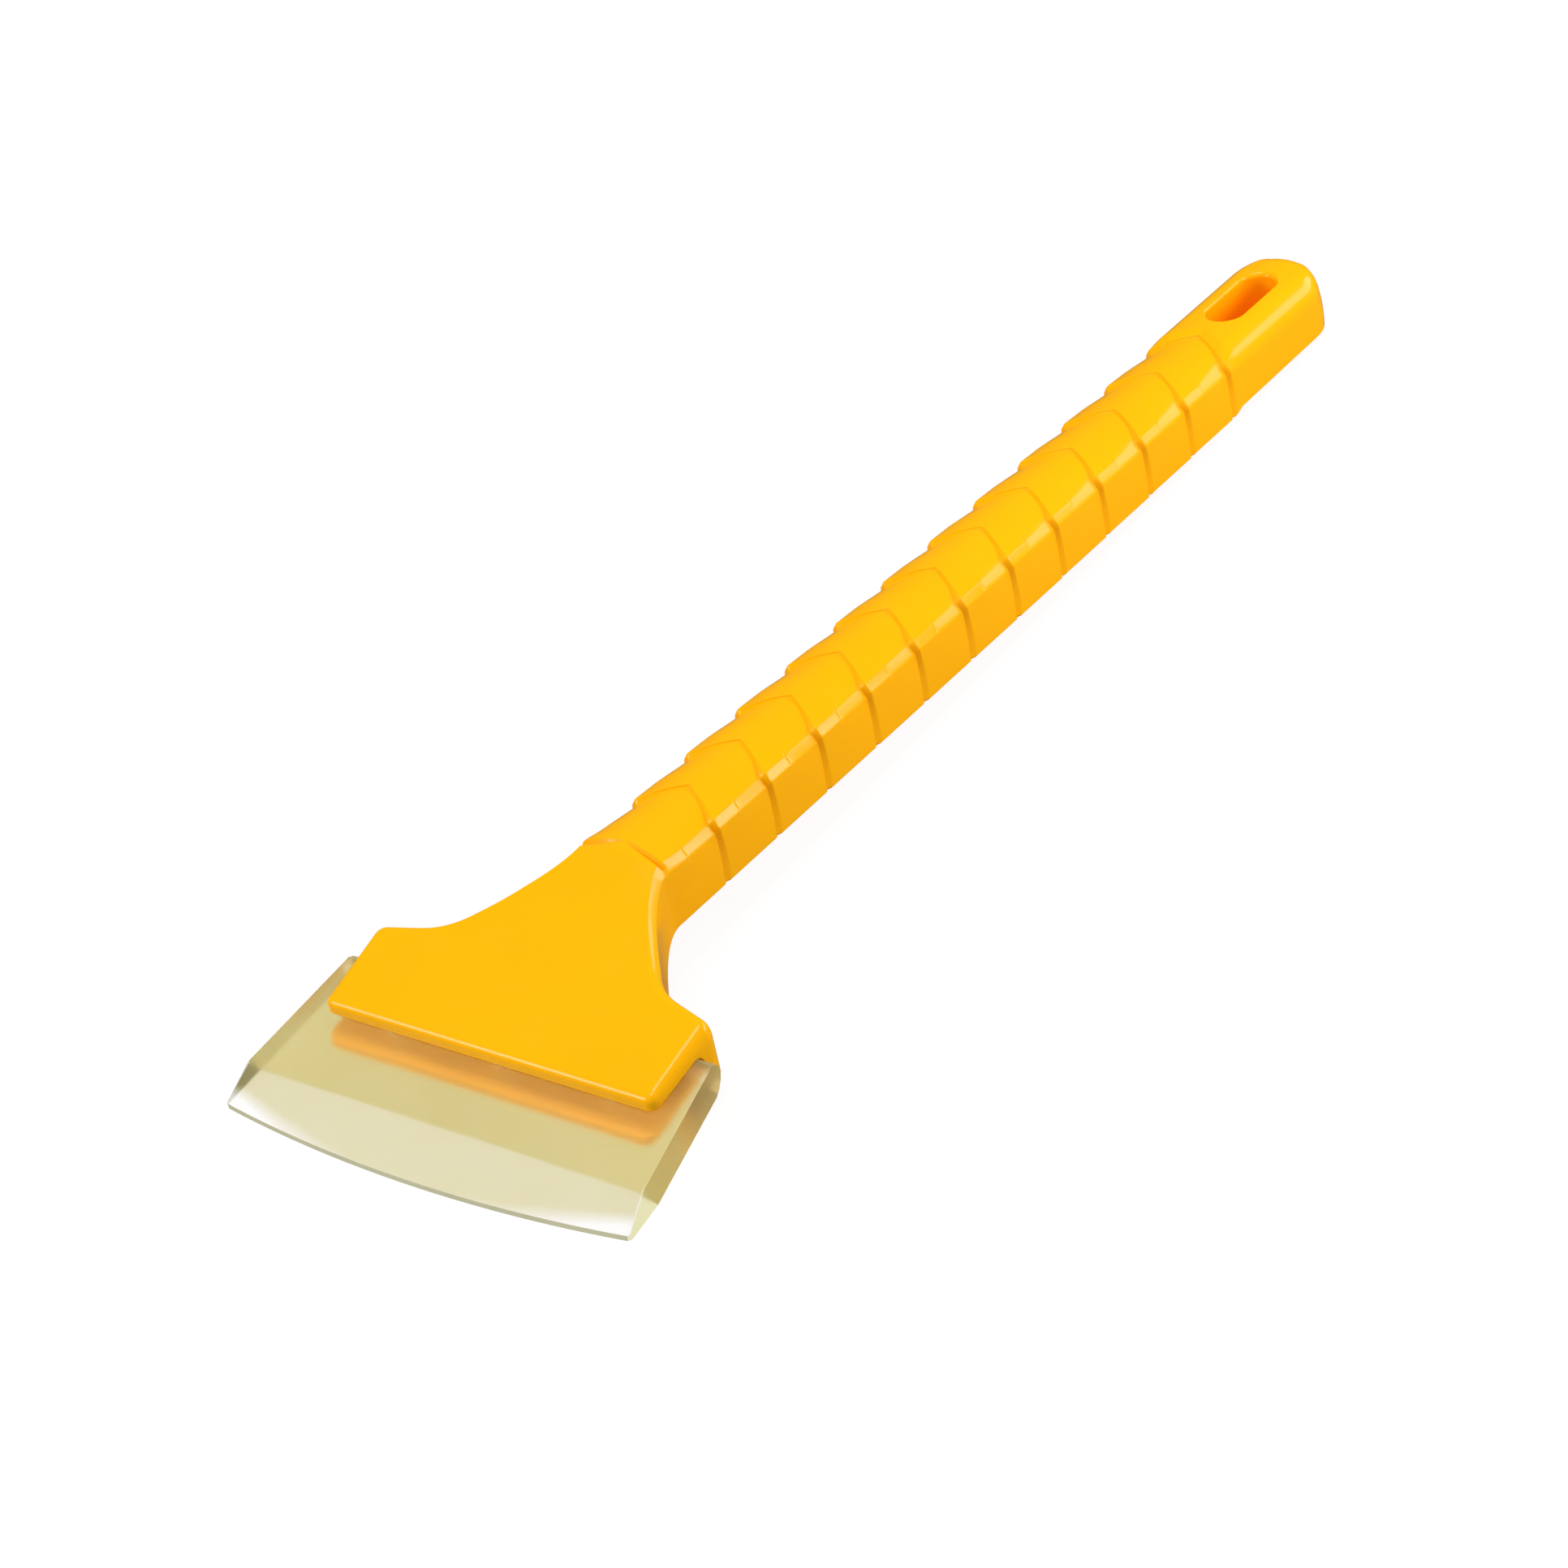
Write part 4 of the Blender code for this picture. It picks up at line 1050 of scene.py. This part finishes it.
def moulded_plastic(name, colours):
    """Glossy moulded plastic with a slight flow variation in its colour and gloss, a faint ripple and a
    painted glow.
    """
    material, tree, shader = new_material(name)
    colour = ramp(tree, noise(tree, scale=22.0, detail=3.0), colours)
    gloss = spread(tree, noise(tree, scale=160.0, detail=4.0), low=0.13, high=0.19)
    ripple = bump(tree, noise(tree, scale=520.0, detail=3.0), distance=0.00003, strength=0.2)
    tree.links.new(colour, shader.inputs["Base Color"])
    tree.links.new(gloss, shader.inputs["Roughness"])
    tree.links.new(ripple, shader.inputs["Normal"])
    shader.inputs["Specular IOR Level"].default_value = 0.2
    add_painted_glow(tree, shader)
    return material


def add_painted_glow(tree, shader):
    """Painted glow added as emission: red for bounced rays, standing in for light between the walls of
    hollows, and orange for rays through the blade, standing in for light that soaks through the plastic
    under it.
    """
    surface = shader.outputs["BSDF"]
    # Painted glow: emission that only bounced rays and rays through the blade see
    for kind, colour in (("Is Diffuse Ray", PAINTED_HOLLOW_GLOW), ("Is Transmission Ray", PAINTED_COVERED_GLOW)):
        glow = tree.nodes.new("ShaderNodeEmission")
        glow.inputs["Color"].default_value = (*colour, 1.0)
        total = tree.nodes.new("ShaderNodeAddShader")
        tree.links.new(light_path(tree, kind), glow.inputs["Strength"])
        tree.links.new(surface, total.inputs[0])
        tree.links.new(glow.outputs["Emission"], total.inputs[1])
        surface = total.outputs["Shader"]
    tree.links.new(surface, tree.nodes["Material Output"].inputs["Surface"])


def facing(tree, output, low, high):
    """How far a share of the surface's own direction, in the object's axes, has gone from low to high."""
    coordinates = tree.nodes.new("ShaderNodeTexCoord")
    parts = tree.nodes.new("ShaderNodeSeparateXYZ")
    size = tree.nodes.new("ShaderNodeMath")
    size.operation = "ABSOLUTE"
    reach = tree.nodes.new("ShaderNodeMapRange")
    reach.inputs["From Min"].default_value = low
    reach.inputs["From Max"].default_value = high
    tree.links.new(coordinates.outputs["Normal"], parts.inputs["Vector"])
    tree.links.new(parts.outputs[output], size.inputs[0])
    tree.links.new(size.outputs[0], reach.inputs["Value"])
    return reach.outputs["Result"]


def blended(tree, share, first, second):
    """Goes from the first colour to the second by a share."""
    mix = tree.nodes.new("ShaderNodeMix")
    mix.data_type = "RGBA"
    tree.links.new(share, mix.inputs["Factor"])
    tree.links.new(first, mix.inputs["A"])
    tree.links.new(second, mix.inputs["B"])
    return mix.outputs["Result"]


def clear_urethane():
    """Cloudy clear green-yellow plastic with painted light by facing: a pale bevel, partly frosted and
    partly a painted reflection, sides painted lighter, and a front rim painted dark as shade.
    """
    material, tree, shader = new_material("clear_urethane")
    cloud = noise(tree, scale=60.0, detail=4.0)
    colour = ramp(tree, cloud, CLEAR)
    through = steady(tree, CLEAR_TRANSMISSION)
    # Painted light: each face's colour and transmission change with the way it faces
    for axis, low, high, colours, transmission in PAINTED_CLEAR_FACES:
        reach = facing(tree, axis, low, high)
        colour = blended(tree, reach, colour, ramp(tree, cloud, colours))
        through = blended(tree, reach, through, steady(tree, transmission))
    gloss = spread(tree, noise(tree, scale=240.0, detail=3.0), low=0.28, high=0.36)
    ripple = bump(tree, noise(tree, scale=300.0), distance=0.00004, strength=0.12)
    tree.links.new(colour, shader.inputs["Base Color"])
    tree.links.new(through, shader.inputs["Transmission Weight"])
    tree.links.new(gloss, shader.inputs["Roughness"])
    tree.links.new(ripple, shader.inputs["Normal"])
    shader.inputs["IOR"].default_value = 1.40
    let_light_through(tree, shader)
    return material


def let_light_through(tree, shader):
    """Lets lamps shine through, tinted, so that what lies behind clear plastic is lit."""
    clear = tree.nodes.new("ShaderNodeBsdfTransparent")
    clear.inputs["Color"].default_value = (*CLEAR_SHADOW, 1.0)
    share = light_path(tree, "Is Shadow Ray")
    surface = mixed(tree, share, shader.outputs["BSDF"], clear.outputs["BSDF"])
    tree.links.new(surface, tree.nodes["Material Output"].inputs["Surface"])


def zinc_steel():
    material, tree, shader = new_material("zinc_steel")
    colour = ramp(tree, noise(tree, scale=900.0, detail=4.0), ZINC, low=0.35, high=0.65)
    gloss = spread(tree, noise(tree, scale=1500.0, detail=3.0), low=0.22, high=0.42)
    grain = bump(tree, noise(tree, scale=2600.0, detail=3.0), distance=0.00004, strength=0.4)
    tree.links.new(colour, shader.inputs["Base Color"])
    tree.links.new(gloss, shader.inputs["Roughness"])
    tree.links.new(grain, shader.inputs["Normal"])
    shader.inputs["Metallic"].default_value = 1.0
    return material


def dress(thing, material):
    thing.data.materials.clear()
    thing.data.materials.append(material)


def dress_node(name, material):
    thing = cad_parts[name]
    if not thing.material_slots:
        thing.data.materials.append(material)
    for slot in thing.material_slots:
        slot.material = material


# Floor, lights and camera

def add_floor():
    """White floor that shows soft shadows, and whose gloss and light are set apart for each kind of ray."""
    mesh = bpy.data.meshes.new("floor")
    far = FLOOR_REACH
    mesh.from_pydata([(-far, -far, 0), (far, -far, 0), (far, far, 0), (-far, far, 0)], [], [(0, 1, 2, 3)])
    floor = add_object("floor", mesh)
    material, tree, shader = new_material("pale_floor")
    shader.inputs["Base Color"].default_value = (FLOOR_SHADE, FLOOR_SHADE, FLOOR_SHADE, 1.0)
    shader.inputs["Roughness"].default_value = FLOOR_ROUGHNESS
    shader.inputs["Specular IOR Level"].default_value = FLOOR_SPECULAR
    kinds = (
        ("Is Camera Ray", FLOOR_GLOW, FLOOR_GLOW_SHARE),
        ("Is Glossy Ray", FLOOR_GLOSS, 1.0),
        ("Is Transmission Ray", FLOOR_THROUGH, 1.0),
    )
    surface = shader.outputs["BSDF"]
    for kind, strength, amount in kinds:
        glow = tree.nodes.new("ShaderNodeEmission")
        glow.inputs["Strength"].default_value = strength
        share = tree.nodes.new("ShaderNodeMath")
        share.operation = "MULTIPLY"
        share.inputs[1].default_value = amount
        tree.links.new(light_path(tree, kind), share.inputs[0])
        surface = mixed(tree, share.outputs["Value"], surface, glow.outputs["Emission"])
    tree.links.new(surface, tree.nodes["Material Output"].inputs["Surface"])
    dress(floor, material)


def add_light(name, where, size, power):
    """Rectangular lamp that is turned to the middle of the floor."""
    data = bpy.data.lights.new(name, "AREA")
    data.shape = "RECTANGLE"
    data.size = size[0]
    data.size_y = size[1]
    data.energy = power
    light = add_object(name, data)
    light.location = where
    light.rotation_euler = (-where).to_track_quat("-Z", "Y").to_euler()


def white_light(tree, strength):
    node = tree.nodes.new("ShaderNodeBackground")
    node.inputs["Color"].default_value = (1.0, 1.0, 1.0, 1.0)
    node.inputs["Strength"].default_value = strength
    return node.outputs["Background"]


def add_world():
    """Even grey light, darker where gloss mirrors it and white behind everything."""
    world = bpy.data.worlds.new("studio")
    world.use_nodes = True
    tree = world.node_tree
    kinds = (
        ("Is Glossy Ray", WORLD_GLOSS),
        ("Is Transmission Ray", WORLD_THROUGH),
        ("Is Camera Ray", WORLD_SEEN),
    )
    surface = white_light(tree, WORLD_LIGHT)
    for kind, strength in kinds:
        surface = mixed(tree, light_path(tree, kind), surface, white_light(tree, strength))
    tree.links.new(surface, tree.nodes["World Output"].inputs["Surface"])
    bpy.context.scene.world = world
    bpy.context.scene.view_settings.view_transform = "Standard"


def add_camera(place):
    flat = math.cos(CAMERA_ELEVATION)
    back = Vector((math.sin(CAMERA_AZIMUTH) * flat, -math.cos(CAMERA_AZIMUTH) * flat,
                   math.sin(CAMERA_ELEVATION)))
    level = Vector((math.cos(CAMERA_AZIMUTH), math.sin(CAMERA_AZIMUTH), 0))
    roll = Matrix.Rotation(CAMERA_ROLL, 3, back)
    right = roll @ level
    up = roll @ back.cross(level)
    data = bpy.data.cameras.new("camera")
    data.sensor_width = SENSOR_WIDTH_MM
    data.lens = FOCAL_PIXELS * SENSOR_WIDTH_MM / FRAME_PIXELS
    camera = add_object("camera", data)
    where = right * CAMERA_AIM_RIGHT + up * CAMERA_AIM_UP + back * CAMERA_DISTANCE
    turn = Matrix((right, up, back)).transposed().to_4x4()
    camera.matrix_world = place @ Matrix.Translation(where) @ turn
    bpy.context.scene.camera = camera


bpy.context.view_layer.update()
place = resting_place()
yellow = moulded_plastic("yellow_plastic", YELLOW)
dress(add_handle(place), yellow)
dress(add_blade(place), clear_urethane())
dress_node("back_cover", yellow)
steel = zinc_steel()
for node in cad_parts:
    if "screw" in node:
        dress_node(node, steel)
add_floor()
for lamp, (where, size, power) in LAMPS.items():
    add_light(lamp, place @ Vector(where), size, power)
add_world()
add_camera(place)
